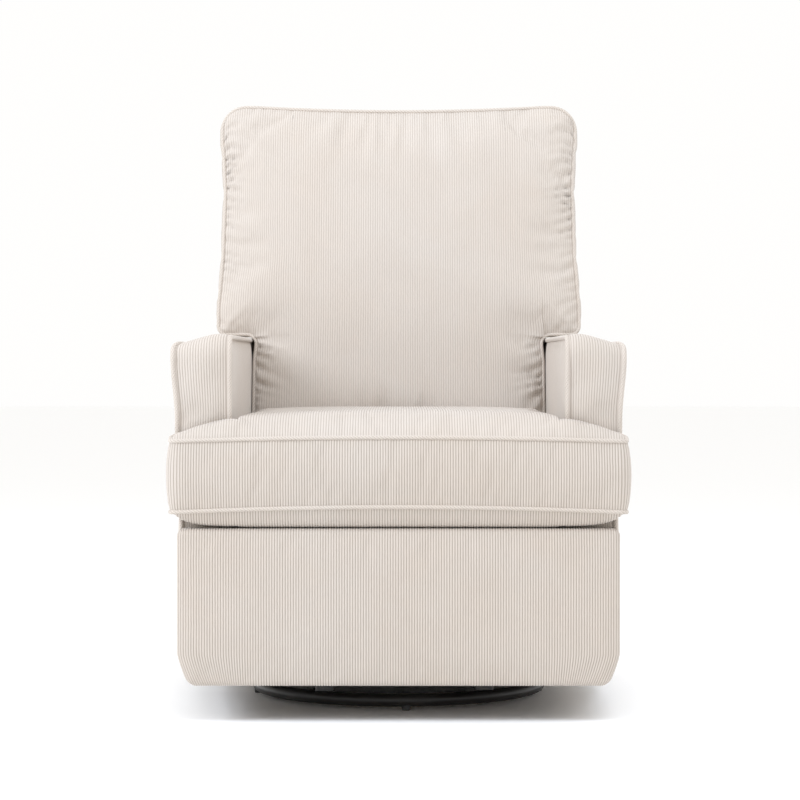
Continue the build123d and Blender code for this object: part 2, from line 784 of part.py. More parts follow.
ring = make_base_ring()
make_foot_glides(ring)
make_cross_bars()
make_swivel_bearing()
make_turntable()
make_glide_links()
make_hangers()
make_seat_frame()
make_seat_springs()
make_arms()
make_handle()
make_seat_cushion()
make_rear_panel()
make_recline_brackets()
make_back_cushion()
make_back_shell()
make_back_frame()
make_back_brackets()
make_footrest_links()
make_footrest_panel()
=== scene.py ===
import json
import math

import bpy
import numpy as np
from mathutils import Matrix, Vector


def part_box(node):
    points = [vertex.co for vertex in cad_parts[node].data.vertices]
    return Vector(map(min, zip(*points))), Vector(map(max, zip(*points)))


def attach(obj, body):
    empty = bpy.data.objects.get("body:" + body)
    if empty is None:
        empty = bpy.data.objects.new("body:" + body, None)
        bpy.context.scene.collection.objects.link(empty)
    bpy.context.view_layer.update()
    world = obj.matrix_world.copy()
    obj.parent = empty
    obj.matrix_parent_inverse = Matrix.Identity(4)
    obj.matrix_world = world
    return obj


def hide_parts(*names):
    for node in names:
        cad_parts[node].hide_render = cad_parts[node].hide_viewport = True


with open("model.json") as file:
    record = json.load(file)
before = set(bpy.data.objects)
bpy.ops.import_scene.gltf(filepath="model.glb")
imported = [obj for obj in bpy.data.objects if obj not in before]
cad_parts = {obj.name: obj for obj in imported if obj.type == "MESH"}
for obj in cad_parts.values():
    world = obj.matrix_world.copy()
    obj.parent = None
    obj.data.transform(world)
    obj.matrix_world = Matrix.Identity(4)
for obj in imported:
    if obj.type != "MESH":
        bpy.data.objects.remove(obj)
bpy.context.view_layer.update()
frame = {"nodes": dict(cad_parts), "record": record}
MM = 0.001

# The glider nursery chair. Lengths in the making code are millimetres, in the CAD's frame:
# +Z up, the chair faces -Y, the floor at z = 0. Meshes are turned into metres when they are made.

PITCH = 4.35  # from one wale of the corduroy to the next
WALE = 1.0  # height of a wale over the ground between two
PER_WALE = 5  # mesh columns in one wale
WELT = 3.5  # radius of the piping on the cushions
ARM_WELT = 4.2  # radius of the piping on the arms
LEAN = math.radians(15.9)


# ---------------- helpers

def edges(node):
    """The lowest and highest corners of a CAD node, in millimetres."""
    low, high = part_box(node)
    return np.array(low) / MM, np.array(high) / MM


def smooth(x, start, end):
    t = np.clip((np.asarray(x, float) - start) / (end - start), 0, 1)
    return t * t * (3 - 2 * t)


def stack(x, y, z):
    return np.stack(np.broadcast_arrays(x, y, z), axis=-1).astype(float)


def lines(*stops):
    """Grid lines from stop to stop: (place, step after it), ..., last place."""
    out = []
    for (a, step), b in zip(stops[:-1], [s[0] for s in stops[1:-1]] + [stops[-1]]):
        count = max(1, round(abs(b - a) / step))
        out.append(np.linspace(a, b, count + 1)[:-1])
    return np.concatenate(out + [[stops[-1]]])


def lengths(points):
    """Distance along a line of points, from its first one."""
    return np.concatenate([[0], np.cumsum(np.linalg.norm(np.diff(points, axis=0), axis=1))])


def along(line, run, places):
    """Points at those distances along a line of points, whose own distances are run."""
    places = np.asarray(places, float)
    return np.stack([np.interp(places, run, line[:, k]) for k in range(3)], axis=-1)


def corner_drop(into, radius, short=0.0):
    """How far a rounded corner has dropped at a distance into it. short keeps it off the upright end."""
    return radius - np.sqrt(radius ** 2 - np.clip(into, 0, radius - short) ** 2)


def softened(points, width, closed):
    """A line of evenly spaced points, averaged over a few neighbours."""
    kernel = np.hanning(width + 2)[1:-1]
    kernel /= kernel.sum()
    half = width // 2
    if closed:
        ring = points[:-1]
        ext = np.concatenate([ring[-half:], ring, ring[:half]])
    else:
        before = 2 * points[:1] - points[half:0:-1]
        after = 2 * points[-1:] - points[-2:-half - 2:-1]
        ext = np.concatenate([before, points, after])
    out = np.stack([np.convolve(ext[:, k], kernel, "valid") for k in range(3)], axis=1)
    return np.concatenate([out, out[:1]]) if closed else out


def unit(v):
    return v / np.maximum(np.linalg.norm(v, axis=-1, keepdims=True), 1e-9)


def spread(grid, t):
    """Smooth values at the float places t along the first axis of grid."""
    n = len(grid)
    ext = np.concatenate([2 * grid[:1] - grid[1:2], grid, 2 * grid[-1:] - grid[-2:-1]])
    i = np.clip(np.floor(t).astype(int), 0, n - 2)
    f = (t - i).reshape((-1,) + (1,) * (grid.ndim - 1))
    a, b, c, d = ext[i], ext[i + 1], ext[i + 2], ext[i + 3]
    square = (2 * a - 5 * b + 4 * c - d) * f ** 2
    cube = (3 * b - a - 3 * c + d) * f ** 3
    return 0.5 * (2 * b + (c - a) * f + square + cube)


def added(name, data):
    obj = bpy.data.objects.new(name, data)
    bpy.context.scene.collection.objects.link(obj)
    return obj


def build(name, parts, body, slot="corduroy", replaces=()):
    """One object from (points, quads, wale shade) parts, on its body and with its record slot."""
    verts, faces, wales, start = [], [], [], 0
    for points, quads, wale in parts:
        verts.append(points * MM)
        faces.append(quads + start)
        wales.append(wale)
        start += len(points)
    verts, faces, wales = np.concatenate(verts), np.concatenate(faces), np.concatenate(wales)
    mesh = bpy.data.meshes.new(name)
    mesh.vertices.add(len(verts))
    mesh.vertices.foreach_set("co", verts.astype(np.float32).ravel())
    mesh.loops.add(faces.size)
    mesh.loops.foreach_set("vertex_index", faces.astype(np.int32).ravel())
    mesh.polygons.add(len(faces))
    mesh.polygons.foreach_set("loop_start", np.arange(0, faces.size, 4, dtype=np.int32))
    mesh.update(calc_edges=True)
    mesh.validate()
    # The wale attribute darkens the valleys in the material: partly the woven ground's own colour, partly
    # painted shade
    mesh.attributes.new("wale", "FLOAT", "POINT").data.foreach_set("value", wales.astype(np.float32))
    mesh.shade_smooth()
    mesh.materials.append(FINISHES[slot])
    obj = added(name, mesh)
    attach(obj, body)
    if replaces:
        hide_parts(*replaces)


# ---------------- fabric panels

def middles(ps, qs):
    """The middle of each cell between grid lines."""
    return np.meshgrid((ps[1:] + ps[:-1]) / 2, (qs[1:] + qs[:-1]) / 2, indexing="ij")


class Panel:
    """A sewn panel of cloth. p runs across the wales and q along them; place(p, q) is the panel as cut
    and sewn, and keep(p, q) says which of its cells are cloth. ps and qs are the grid of the simulation,
    which holds the panel's edges and what held(p, q) names. cap is the most that the cloth may rise,
    in millimetres, and spare is how much wider than its seams it is cut."""

    def __init__(self, place, ps, qs, centre, keep=None, held=None, cap=14.0, pressure=3.0, spare=0.0):
        self.place, self.centre = place, centre
        self.ps, self.qs = np.asarray(ps, float), np.asarray(qs, float)
        self.keep = keep or (lambda p, q: np.ones(np.broadcast(p, q).shape, bool))
        self.held, self.cap, self.pressure, self.spare = held, cap, pressure, spare
        self.lift = np.zeros((len(self.ps), len(self.qs), 3))

    def quads(self, cells, flip):
        count = cells.shape[1] + 1
        i, j = np.nonzero(cells)
        near, far = i * count + j, (i + 1) * count + j
        quads = np.stack([near, far, far + 1, near + 1], axis=1)
        return quads[:, ::-1] if flip else quads

    def outward(self, points):
        """Unit normals of a grid of points, away from the piece's middle, and whether they were turned."""
        n = unit(np.cross(np.gradient(points, axis=0), np.gradient(points, axis=1)))
        middle = np.asarray(self.centre, float)
        flip = np.sum(n * (points - middle)) < 0
        return (-n if flip else n), bool(flip)

    def points(self, ps, qs):
        """The panel's points on those grid lines, with what the simulation added."""
        p, q = np.meshgrid(ps, qs, indexing="ij")
        points = self.place(p, q)
        if np.any(self.lift):
            u = np.interp(ps, self.ps, np.arange(len(self.ps)))
            v = np.interp(qs, self.qs, np.arange(len(self.qs)))
            lift = spread(self.lift, u)
            points = points + spread(lift.swapaxes(0, 1), v).swapaxes(0, 1)
        return points

    def cloth(self, step=9.5, marks_p=(), marks_q=(), per=PER_WALE, wale=WALE, ground_and_shade=0.0,
              keep=None, bare=False):
        """The finished mesh part of this panel, with its wales. Rows are step apart, with extra grid lines
        at the marks. The argument after wale sets how pale the valleys between the wales are, 0 to 1: their
        darkness is partly the woven ground's own colour and partly painted shade. bare is plain lining
        without wales."""
        low, high = self.ps[0], self.ps[-1]
        if bare:
            fine = self.ps
        else:
            first, last = math.ceil(low / PITCH * per), math.floor(high / PITCH * per)
            fine = np.arange(first, last + 1) * PITCH / per
        ps = np.unique(np.round(np.concatenate([fine, [low, high], marks_p]), 3))
        count = max(2, round((self.qs[-1] - self.qs[0]) / step))
        rows = np.linspace(self.qs[0], self.qs[-1], count + 1)
        qs = np.unique(np.round(np.concatenate([rows, marks_q]), 3))
        points = self.points(ps, qs)
        normals, flip = self.outward(points)
        height = np.ones(len(ps)) if bare else np.abs(np.sin(math.pi * ps / PITCH)) ** 0.6
        height = np.repeat(height[:, None], len(qs), axis=1)
        points = points + normals * (height[..., None] - 1) * wale
        cells = self.keep(*middles(ps, qs))
        if keep is not None:
            cells &= keep(*middles(ps, qs))
        quads = self.quads(cells, flip)
        used, back = np.unique(quads, return_inverse=True)
        # shade: each point's wale height as a value for the material, which darkens the valleys: partly the
        # woven ground's own colour, partly painted shade in the grooves
        shade = ground_and_shade + (1 - ground_and_shade) * height.reshape(-1)[used]
        return points.reshape(-1, 3)[used], back.reshape(quads.shape), shade


def settle(panels, frames=20):
    """Blows every panel up between its seams with Blender's cloth, in one run, and keeps what it adds."""
    scene = bpy.context.scene
    scene.frame_start, scene.frame_end = 1, frames
    made = []
    for number, panel in enumerate(panels):
        p, q = np.meshgrid(panel.ps, panel.qs, indexing="ij")
        start = panel.place(p, q)
        flip = panel.outward(start)[1]
        cells = panel.keep(*middles(panel.ps, panel.qs))
        quads = panel.quads(cells, flip)
        touching = np.zeros(p.shape, int)
        for di in (0, 1):
            for dj in (0, 1):
                touching[di:di + cells.shape[0], dj:dj + cells.shape[1]] += cells
        used, back = np.unique(quads, return_inverse=True)
        fixed = touching < 4
        if panel.held is not None:
            fixed |= panel.held(p, q)
        mesh = bpy.data.meshes.new(f"sim_{number}")
        points = start.reshape(-1, 3)[used] * MM
        mesh.from_pydata(points.tolist(), [], back.reshape(quads.shape).tolist())
        obj = added(f"sim_{number}", mesh)
        group = obj.vertex_groups.new(name="held")
        group.add(np.nonzero(fixed.reshape(-1)[used])[0].tolist(), 1.0, "REPLACE")
        cloth = obj.modifiers.new("Cloth", "CLOTH")
        s = cloth.settings
        s.quality, s.mass = 6, 0.25
        s.tension_stiffness = s.compression_stiffness = 18
        s.shear_stiffness, s.bending_stiffness = 8, 0.8
        s.tension_damping = s.compression_damping = s.shear_damping = 8
        s.vertex_group_mass, s.pin_stiffness = "held", 1.0
        s.use_pressure, s.uniform_pressure_force = True, panel.pressure
        s.shrink_min = -panel.spare
        s.effector_weights.gravity = 0
        cloth.collision_settings.use_collision = False
        cloth.collision_settings.use_self_collision = False
        cloth.point_cache.frame_start, cloth.point_cache.frame_end = 1, frames
        made.append((panel, obj, start, used))
    for number in range(1, frames + 1):
        scene.frame_set(number)
    graph = bpy.context.evaluated_depsgraph_get()
    for panel, obj, start, used in made:
        result = obj.evaluated_get(graph).to_mesh()
        co = np.empty(len(used) * 3, np.float32)
        result.vertices.foreach_get("co", co)
        moved = start.reshape(-1, 3).copy()
        moved[used] = co.reshape(-1, 3) / MM
        lift = moved.reshape(start.shape) - start
        size = np.linalg.norm(lift, axis=-1, keepdims=True)
        panel.lift = lift * (panel.cap * np.tanh(size / panel.cap) / np.maximum(size, 1e-6))
        obj.evaluated_get(graph).to_mesh_clear()
        mesh = obj.data
        bpy.data.objects.remove(obj)
        bpy.data.meshes.remove(mesh)
    scene.frame_set(1)


def seam(place, corners, count=3000):
    """The closed seam line where place() puts the outline through these (p, q) corners."""
    ease = (1 - np.cos(np.linspace(0, math.pi, count))) / 2
    runs = []
    for (p0, q0), (p1, q1) in zip(corners, corners[1:] + corners[:1]):
        runs.append(np.stack([p0 + (p1 - p0) * ease, q0 + (q1 - q0) * ease], axis=1))
    pq = np.concatenate(runs)
    return place(pq[:, 0], pq[:, 1])


def tube(path, radius, closed, starts=4, up=(0, 0, 1)):
    """A piping cord in bias-cut cloth along a line of points: its wales wind round it in so many starts."""
    step, around, grain, ridge = 1.25, 12, 6.15, 0.6
    run = lengths(path)
    count = round(run[-1] / step)
    line = along(path, run, np.linspace(0, run[-1], count + 1))
    line = softened(line, 9, closed)
    if closed:
        line = line[:-1]
        ahead = unit(np.roll(line, -1, axis=0) - np.roll(line, 1, axis=0))
    else:
        ahead = unit(np.gradient(line, axis=0))
    side = unit(np.cross(ahead, np.asarray(up, float)) + 1e-6 * np.array([1.0, 0.3, 0.1]))
    over = np.cross(side, ahead)
    far = np.arange(len(line)) * run[-1] / count
    angle = np.arange(around) * 2 * math.pi / around
    phase = far[:, None] / grain + starts * angle[None, :] / (2 * math.pi)
    height = np.abs(np.sin(math.pi * phase)) ** 0.7
    r = (radius - ridge * (1 - height))[..., None]
    cos, sin = np.cos(angle)[None, :, None], np.sin(angle)[None, :, None]
    points = line[:, None] + r * (cos * side[:, None] + sin * over[:, None])
    n = len(line)
    i, j = np.meshgrid(np.arange(n if closed else n - 1), np.arange(around), indexing="ij")
    i, j = i.ravel(), j.ravel()
    i2, j2 = (i + 1) % n, (j + 1) % around
    quads = np.stack([i * around + j, i2 * around + j, i2 * around + j2, i * around + j2], axis=1)
    # The ridge height goes out as the wale attribute. Its darker valleys are partly the woven ground's own
    # colour and partly painted shade in the cord's grooves
    return [(points.reshape(-1, 3), quads, height.ravel())]


# ---------------- materials

class Nodes:
    """A short way to write a material's node tree."""

    def __init__(self, name):
        self.material = bpy.data.materials.new(name)
        self.material.use_nodes = True
        self.tree = self.material.node_tree
        self.shader = self.tree.nodes["Principled BSDF"]
        self.place = self.add("ShaderNodeTexCoord").outputs["Object"]

    def add(self, kind, **values):
        node = self.tree.nodes.new(kind)
        for key, value in values.items():
            setattr(node, key, value)
        return node

    def put(self, socket, value):
        if isinstance(value, bpy.types.NodeSocket):
            self.tree.links.new(value, socket)
        else:
            socket.default_value = value

    def stretched(self, scale):
        node = self.add("ShaderNodeMapping")
        self.put(node.inputs["Vector"], self.place)
        node.inputs["Scale"].default_value = scale
        return node.outputs["Vector"]

    def noise(self, scale, detail=3.0, rough=0.55, vector=None, distortion=0.0):
        node = self.add("ShaderNodeTexNoise")
        self.put(node.inputs["Vector"], vector or self.place)
        values = {"Scale": scale, "Detail": detail, "Roughness": rough, "Distortion": distortion}
        for key, value in values.items():
            node.inputs[key].default_value = value
        return node.outputs["Fac"]

    def ramp(self, value, *stops):
        node = self.add("ShaderNodeMapRange")
        for key, number in zip(("From Min", "From Max", "To Min", "To Max"), stops):
            node.inputs[key].default_value = number
        self.put(node.inputs["Value"], value)
        return node.outputs["Result"]

    def math(self, operation, a, b=0.0, c=0.0):
        node = self.add("ShaderNodeMath", operation=operation)
        for socket, value in zip(node.inputs, (a, b, c)):
            self.put(socket, value)
        return node.outputs["Value"]

    def mix(self, factor, a, b, kind="MIX"):
        node = self.add("ShaderNodeMix", data_type="RGBA", blend_type=kind)
        self.put(node.inputs[0], factor)
        self.put(node.inputs[6], a if isinstance(a, bpy.types.NodeSocket) else (*a, 1))
        self.put(node.inputs[7], b if isinstance(b, bpy.types.NodeSocket) else (*b, 1))
        return node.outputs[2]

    def stained(self, color, amount, tint):
        """The colour, multiplied by a tint where amount says so."""
        return self.mix(amount, color, self.mix(1.0, color, tint, "MULTIPLY"))

    def attribute(self, name):
        return self.add("ShaderNodeAttribute", attribute_name=name).outputs["Fac"]

    def bump(self, height, strength, distance, under=None):
        """A normal bumped by a height, over the one under it."""
        node = self.add("ShaderNodeBump")
        node.inputs["Strength"].default_value = strength
        node.inputs["Distance"].default_value = distance
        self.put(node.inputs["Height"], height)
        if under is not None:
            self.put(node.inputs["Normal"], under)
        return node.outputs["Normal"]

    def finish(self, color=None, roughness=None, normal=None, **constants):
        for key, value in (("Base Color", color), ("Roughness", roughness), ("Normal", normal)):
            if isinstance(value, tuple) and len(value) == 3:
                value = (*value, 1)
            if value is not None:
                self.put(self.shader.inputs[key], value)
        for key, value in constants.items():
            self.shader.inputs[key.replace("_", " ")].default_value = value
        return self.material


def corduroy(name, crest, ground_and_shade, warm):
    """Brushed cotton corduroy: pale velvety wales over a darker woven ground, warmer in soft patches. The
    darkening down in the valleys is partly the ground's own colour and partly painted shade.
    """
    m = Nodes(name)
    wale = m.attribute("wale")
    pile = m.noise(2600, 2.0, 0.7)
    strands = m.noise(700, 3.0, 0.65, m.stretched((1.0, 1.0, 0.16)))
    brushed = m.noise(7.5, 4.0, 0.55, distortion=0.8)
    patches = m.noise(26, 3.0, 0.6)
    handled = m.noise(2.6, 2.0, 0.5)
    # The wale attribute darkens the valleys toward the ground colour: partly the woven ground's own colour,
    # partly painted shade in the grooves
    depth = m.ramp(wale, 0.05, 0.9, 0.0, 1.0)
    color = m.mix(depth, ground_and_shade, crest)
    color = m.stained(color, m.ramp(brushed, 0.35, 0.7, 0.0, 0.35), (0.93, 0.90, 0.87))
    color = m.stained(color, m.ramp(patches, 0.45, 0.75, 0.0, 0.30), (1.05, 1.03, 1.01))
    color = m.stained(color, m.ramp(handled, 0.35, 0.65, 0.0, 0.40), warm)
    color = m.stained(color, m.ramp(strands, 0.3, 0.7, 0.0, 0.28), (0.86, 0.84, 0.82))
    rough = m.ramp(pile, 0.2, 0.8, 0.82, 0.98)
    fuzz = m.bump(pile, 0.35, 0.0005)
    normal = m.bump(strands, 0.45, 0.0006, fuzz)
    return m.finish(color, rough, normal, Sheen_Weight=0.35, Sheen_Roughness=0.45,
                    Sheen_Tint=(1.0, 0.97, 0.94, 1), Specular_IOR_Level=0.25)


def coated(name, color, worn, metallic=0.0, rough=0.42):
    """A powder-coated or moulded surface with fine orange peel, and its coat worn thin on the edges."""
    m = Nodes(name)
    peel = m.noise(900, 2.0, 0.5)
    dust = m.noise(14, 5.0, 0.6)
    edge = m.add("ShaderNodeNewGeometry").outputs["Pointiness"]
    rubbed = m.math("MULTIPLY", m.ramp(edge, 0.52, 0.60, 0.0, 1.0), m.ramp(dust, 0.4, 0.65, 0.2, 1.0))
    shade = m.mix(m.ramp(dust, 0.45, 0.75, 0.0, 0.5), color, tuple(c * 1.5 + 0.012 for c in color))
    return m.finish(m.mix(rubbed, shade, worn), m.ramp(dust, 0.3, 0.7, rough - 0.06, rough + 0.16),
                    m.bump(peel, 0.25, 0.0004), Metallic=metallic, Specular_IOR_Level=0.5)


def plated(name, color, rough, streak):
    """Zinc plate or drawn wire: fine draw lines, dull patches and a little darkening."""
    m = Nodes(name)
    drawn = m.noise(260, 3.0, 0.6, m.stretched(streak))
    dull = m.noise(38, 4.0, 0.6)
    tone = m.mix(m.ramp(dull, 0.35, 0.7, 0.0, 0.75), color, tuple(c * 0.62 for c in color))
    return m.finish(tone, m.ramp(drawn, 0.3, 0.7, rough - 0.08, rough + 0.14), m.bump(drawn, 0.2, 0.0002),
                    Metallic=1.0)


def timber(name, pale, dark, plies):
    """Sawn softwood with its rings, or plywood with its dark glue lines."""
    m = Nodes(name)
    wave = m.add("ShaderNodeTexWave", wave_type="BANDS" if plies else "RINGS", bands_direction="DIAGONAL")
    m.put(wave.inputs["Vector"], m.stretched((1.0, 1.0, 1.0) if plies else (1.0, 0.12, 0.3)))
    wave.inputs["Scale"].default_value = 95 if plies else 42
    wave.inputs["Distortion"].default_value = 2.2 if plies else 7.0
    wave.inputs["Detail"].default_value = 3.0
    fibre = m.noise(420, 3.0, 0.6, m.stretched((1.0, 0.06, 0.06)))
    stain = m.noise(6, 4.0, 0.6)
    color = m.mix(m.ramp(wave.outputs["Fac"], 0.35, 0.95, 0.0, 0.7), pale, dark)
    color = m.mix(m.ramp(fibre, 0.35, 0.7, 0.0, 0.35), color, tuple(c * 0.7 for c in dark))
    color = m.mix(m.ramp(stain, 0.45, 0.8, 0.0, 0.4), color, tuple(c * 0.8 for c in pale))
    return m.finish(color, m.ramp(fibre, 0.3, 0.7, 0.55, 0.8), m.bump(fibre, 0.3, 0.0006))


FINISHES = {
    "corduroy": corduroy("corduroy", (0.600, 0.550, 0.502), (0.36, 0.305, 0.255), (1.0, 0.965, 0.93)),
    "welting": corduroy("welting", (0.66, 0.605, 0.55), (0.30, 0.25, 0.205), (1.0, 0.97, 0.94)),
    "black_steel": coated("black_steel", (0.012, 0.0115, 0.011), (0.12, 0.115, 0.11), 0.0, 0.36),
    "zinc_steel": plated("zinc_steel", (0.62, 0.63, 0.64), 0.36, (1.0, 0.08, 1.0)),
    "spring_steel": plated("spring_steel", (0.20, 0.19, 0.18), 0.42, (0.2, 1.0, 1.0)),
    "clip_plastic": coated("clip_plastic", (0.62, 0.60, 0.54), (0.70, 0.69, 0.64), 0.0, 0.48),
    "foot_plastic": coated("foot_plastic", (0.014, 0.014, 0.014), (0.06, 0.06, 0.06), 0.0, 0.55),
    "handle_plastic": coated("handle_plastic", (0.030, 0.028, 0.026), (0.10, 0.10, 0.10), 0.0, 0.46),
    "frame_wood": timber("frame_wood", (0.62, 0.44, 0.27), (0.42, 0.26, 0.14), False),
    "plywood": timber("plywood", (0.66, 0.49, 0.31), (0.38, 0.24, 0.13), True),
}


# ---------------- camera, light and floor

def stand(kind, name, place, target=None):
    data = bpy.data.cameras.new(name) if kind == "CAMERA" else bpy.data.lights.new(name, kind)
    obj = added(name, data)
    obj.location = place
    if target is not None:
        away = [t - p for p, t in zip(place, target)]
        flat = math.hypot(away[0], away[1])
        obj.rotation_euler = (math.atan2(flat, -away[2]), 0, math.atan2(-away[0], away[1]))
    return obj


CAMERA_DOWN = 0.818  # degrees that the camera looks down by
camera = stand("CAMERA", "camera", (0.0024, -4.610, 0.582))
camera.rotation_euler = (math.radians(90 - CAMERA_DOWN), 0, 0)
camera.data.lens = 116.64
camera.data.sensor_width = 36
bpy.context.scene.camera = camera

for name, place, target, size, power in (
    ("key", (-2.75, -1.55, 2.15), (0.3, 0.1, 0.7), 1.4, 64),
    ("fill", (1.0, -2.0, 3.2), (0.05, 0.1, 0.95), 1.8, 40),
    ("over", (0.3, 0.4, 3.4), (0, 0, 0.6), 2.6, 14),
    ("behind", (1.5, 2.9, 2.4), (0, 0, 0.6), 2.4, 14),
):
    lamp = stand("AREA", name, place, target)
    lamp.data.shape = "SQUARE"
    lamp.data.size = size
    lamp.data.energy = power
    lamp.data.color = (0.82, 0.89, 1.0)

world = bpy.data.worlds.new("studio")
world.use_nodes = True
sky = world.node_tree.nodes["Background"].inputs
sky["Color"].default_value, sky["Strength"].default_value = (1.0, 0.995, 0.985, 1), 1.0
bpy.context.scene.world = world
bpy.context.scene.view_settings.view_transform = "Standard"

floor_mesh = bpy.data.meshes.new("floor")
FLOOR_HALF = 30  # metres
corners = [(x * FLOOR_HALF, y * FLOOR_HALF, 0) for x, y in ((-1, -1), (1, -1), (1, 1), (-1, 1))]
floor_mesh.from_pydata(corners, [], [(0, 1, 2, 3)])
floor = added("floor", floor_mesh)
paper = Nodes("floor_paper")
paper_rough = paper.ramp(paper.noise(30), 0.3, 0.7, 0.85, 0.95)
floor_mesh.materials.append(paper.finish((0.975, 0.972, 0.966), paper_rough))


# ---------------- seat cushion

s_low, s_high = edges("seat_cushion")
arm_low, arm_high = edges("arm_cover_right")
EAR = s_high[0] - 4.5  # half width of the seam round the T's ears
NECK = arm_low[0] - 6.0  # half width between the arms
FRONT = s_low[1] + 6.0  # the front seam
EAR_BACK = arm_low[1] - 6.5
SEAT_BACK = s_high[1] - 7.0
SEAT_MIDDLE = (0, (FRONT + SEAT_BACK) / 2, 400)
SEAT_HALF = 370.0  # half width that the seat's crowns die away at
EAR_ROUND_FRONT, EAR_ROUND_BACK = 14.0, 9.0
FRONT_BOW = 2.2
UPPER_SEAM, UPPER_BOW = 455.5, 6.4  # height of the upper seam at the ends of the T, and its rise
LOWER_SEAM, LOWER_BOW = 341.0, 9.0
CREST, CROWN = 461.5, 42.5  # height of the seat at its ends, and how far it is crowned
UNDERSIDE = 317.8


def ear_outline(p, q):
    """Plan places of the T's (p, q): round corners at the ends of the ears, a slight bow in the front."""
    ap = np.abs(p)
    bow = FRONT_BOW * (1 - (p / EAR) ** 2)
    front = FRONT - bow + corner_drop(ap - (EAR - EAR_ROUND_FRONT), EAR_ROUND_FRONT)
    back = EAR_BACK - corner_drop(ap - (EAR - EAR_ROUND_BACK), EAR_ROUND_BACK)
    t = (q - FRONT) / (EAR_BACK - FRONT)
    y = np.where(q < EAR_BACK, front + t * (back - front), q)
    body_front = np.where(ap < NECK, EAR_BACK, back)
    y = np.where((q < EAR_BACK) & (ap < NECK), front + t * (body_front - front), y)
    return p, y, front


def seat_inner(x, y):
    """Distance to the seam behind the ears and along the body's sides and back."""
    ax = np.abs(x)
    ear = EAR_BACK - y
    corner = np.hypot(np.clip(NECK - ax, 0, None), np.clip(ear, 0, None))
    beside = np.where(y > EAR_BACK, NECK - ax, corner)
    return np.clip(np.minimum(np.where((ax >= NECK), ear, beside), SEAT_BACK - y), 0, None)


def seat_top(p, q):
    x, y, front = ear_outline(p, q)
    ax = np.abs(x)
    low = UPPER_SEAM + UPPER_BOW * (1 - (x / SEAT_HALF) ** 2)
    body = 7.0 * (1 - smooth(ax, 215, 285))
    crest = CREST + (CROWN - body) * (1 - np.clip(ax / SEAT_HALF, 0, 1) ** 5)
    reach = 9.5 + 22 * (1 - smooth(ax, 170, 290))
    rise = 1 - np.exp(-np.clip(y - front, 0, None) / reach)
    z = low + (crest - low) * rise
    roll = 11 * np.clip((SEAT_HALF - ax) / 60, 0, 1) * np.exp(-(seat_inner(x, y) / 4.5) ** 1.3)
    back = 24 * np.exp(-np.clip(SEAT_BACK - y, 0, None) / 16)
    return stack(x, y, z - roll - back)


def seat_bottom(p, q):
    x, y, front = ear_outline(p, q)
    ax = np.abs(x)
    low = LOWER_SEAM + LOWER_BOW * (1 - (x / SEAT_HALF) ** 2)
    near = np.clip(np.minimum.reduce([seat_inner(x, y), y - front, EAR - ax]), 0, None)
    rest = UNDERSIDE - 3.8 * smooth(-y, -EAR_BACK - 22, -EAR_BACK - 6)
    under = (low - rest) * (1 - np.clip(ax / SEAT_HALF, 0, 1) ** 16)
    return stack(x, y, low - under * (1 - np.exp(-near / 8)))


def seat_strip(p, q):
    """The part of the underside that shows under the front."""
    return q < EAR_BACK + 20


def seat_keep(p, q):
    """The T: its ears in front, its body behind them."""
    return (np.abs(p) < NECK) | (q < EAR_BACK)


seat_ps = lines((-EAR, 9.5), (-NECK, 9.9), (NECK, 9.5), EAR)
seat_qs = lines((FRONT, 7.4), (EAR_BACK, 10), (EAR_BACK + 20, 9.9), SEAT_BACK)
seat_corners = [(-EAR, FRONT), (EAR, FRONT), (EAR, EAR_BACK), (NECK, EAR_BACK), (NECK, SEAT_BACK),
                (-NECK, SEAT_BACK), (-NECK, EAR_BACK), (-EAR, EAR_BACK)]
top_panel = Panel(seat_top, seat_ps, seat_qs, SEAT_MIDDLE, seat_keep, cap=7.0, pressure=2.5, spare=0.012)
bottom_panel = Panel(seat_bottom, seat_ps, seat_qs, SEAT_MIDDLE, seat_keep)


class Band(Panel):
    """A boxing strip between two matching closed seams. p is the length along the first, q goes 0 to 1."""

    def __init__(self, first, second, bulge, centre, spare):
        run = lengths(first)
        self.run, self.first, self.second = run, first, second
        ahead = unit(np.roll(first[:-1], -3, axis=0) - np.roll(first[:-1], 3, axis=0))
        out = unit(np.cross(ahead, second[:-1] - first[:-1]))
        if np.sum(out * (first[:-1] - np.mean(first[:-1], axis=0))) < 0:
            out = -out
        out = softened(np.concatenate([out, out[:1]]), 9, True)
        self.out = out * bulge(first)[:, None]
        count = max(20, round(run[-1] / 10))
        ps, qs = np.linspace(0, run[-1], count + 1), np.linspace(0, 1, 9)
        super().__init__(self.lay, ps, qs, centre, cap=3.5, pressure=1.2, spare=spare)

    def lay(self, p, q):
        p, q = np.broadcast_arrays(p, q)
        first, second, out = [along(line, self.run, p) for line in (self.first, self.second, self.out)]
        q = q[..., None]
        return first + (second - first) * q + out * (4 * q * (1 - q)) ** 0.8


def paired(first, second, step=2.0):
    """Two seam lines sampled at the same places, even along the first."""
    run = lengths(first)
    keep = np.concatenate([[True], np.diff(run) > 1e-6])
    first, second, run = first[keep], second[keep], run[keep]
    even = np.linspace(0, run[-1], int(run[-1] / step) + 1)
    return [softened(along(line, run, even), 5, True) for line in (first, second)]


seat_upper, seat_lower = paired(seam(seat_top, seat_corners), seam(seat_bottom, seat_corners))


def seat_bulge(line):
    """How far the seat's boxing stands out: more round the ears than beside the arms."""
    ear = smooth(-line[:, 1], -EAR_BACK - 6, -EAR_BACK + 12)
    return 1.2 + 5.2 * ear


seat_band = Band(seat_upper, seat_lower, seat_bulge, SEAT_MIDDLE, spare=0.006)


# ---------------- back cushion

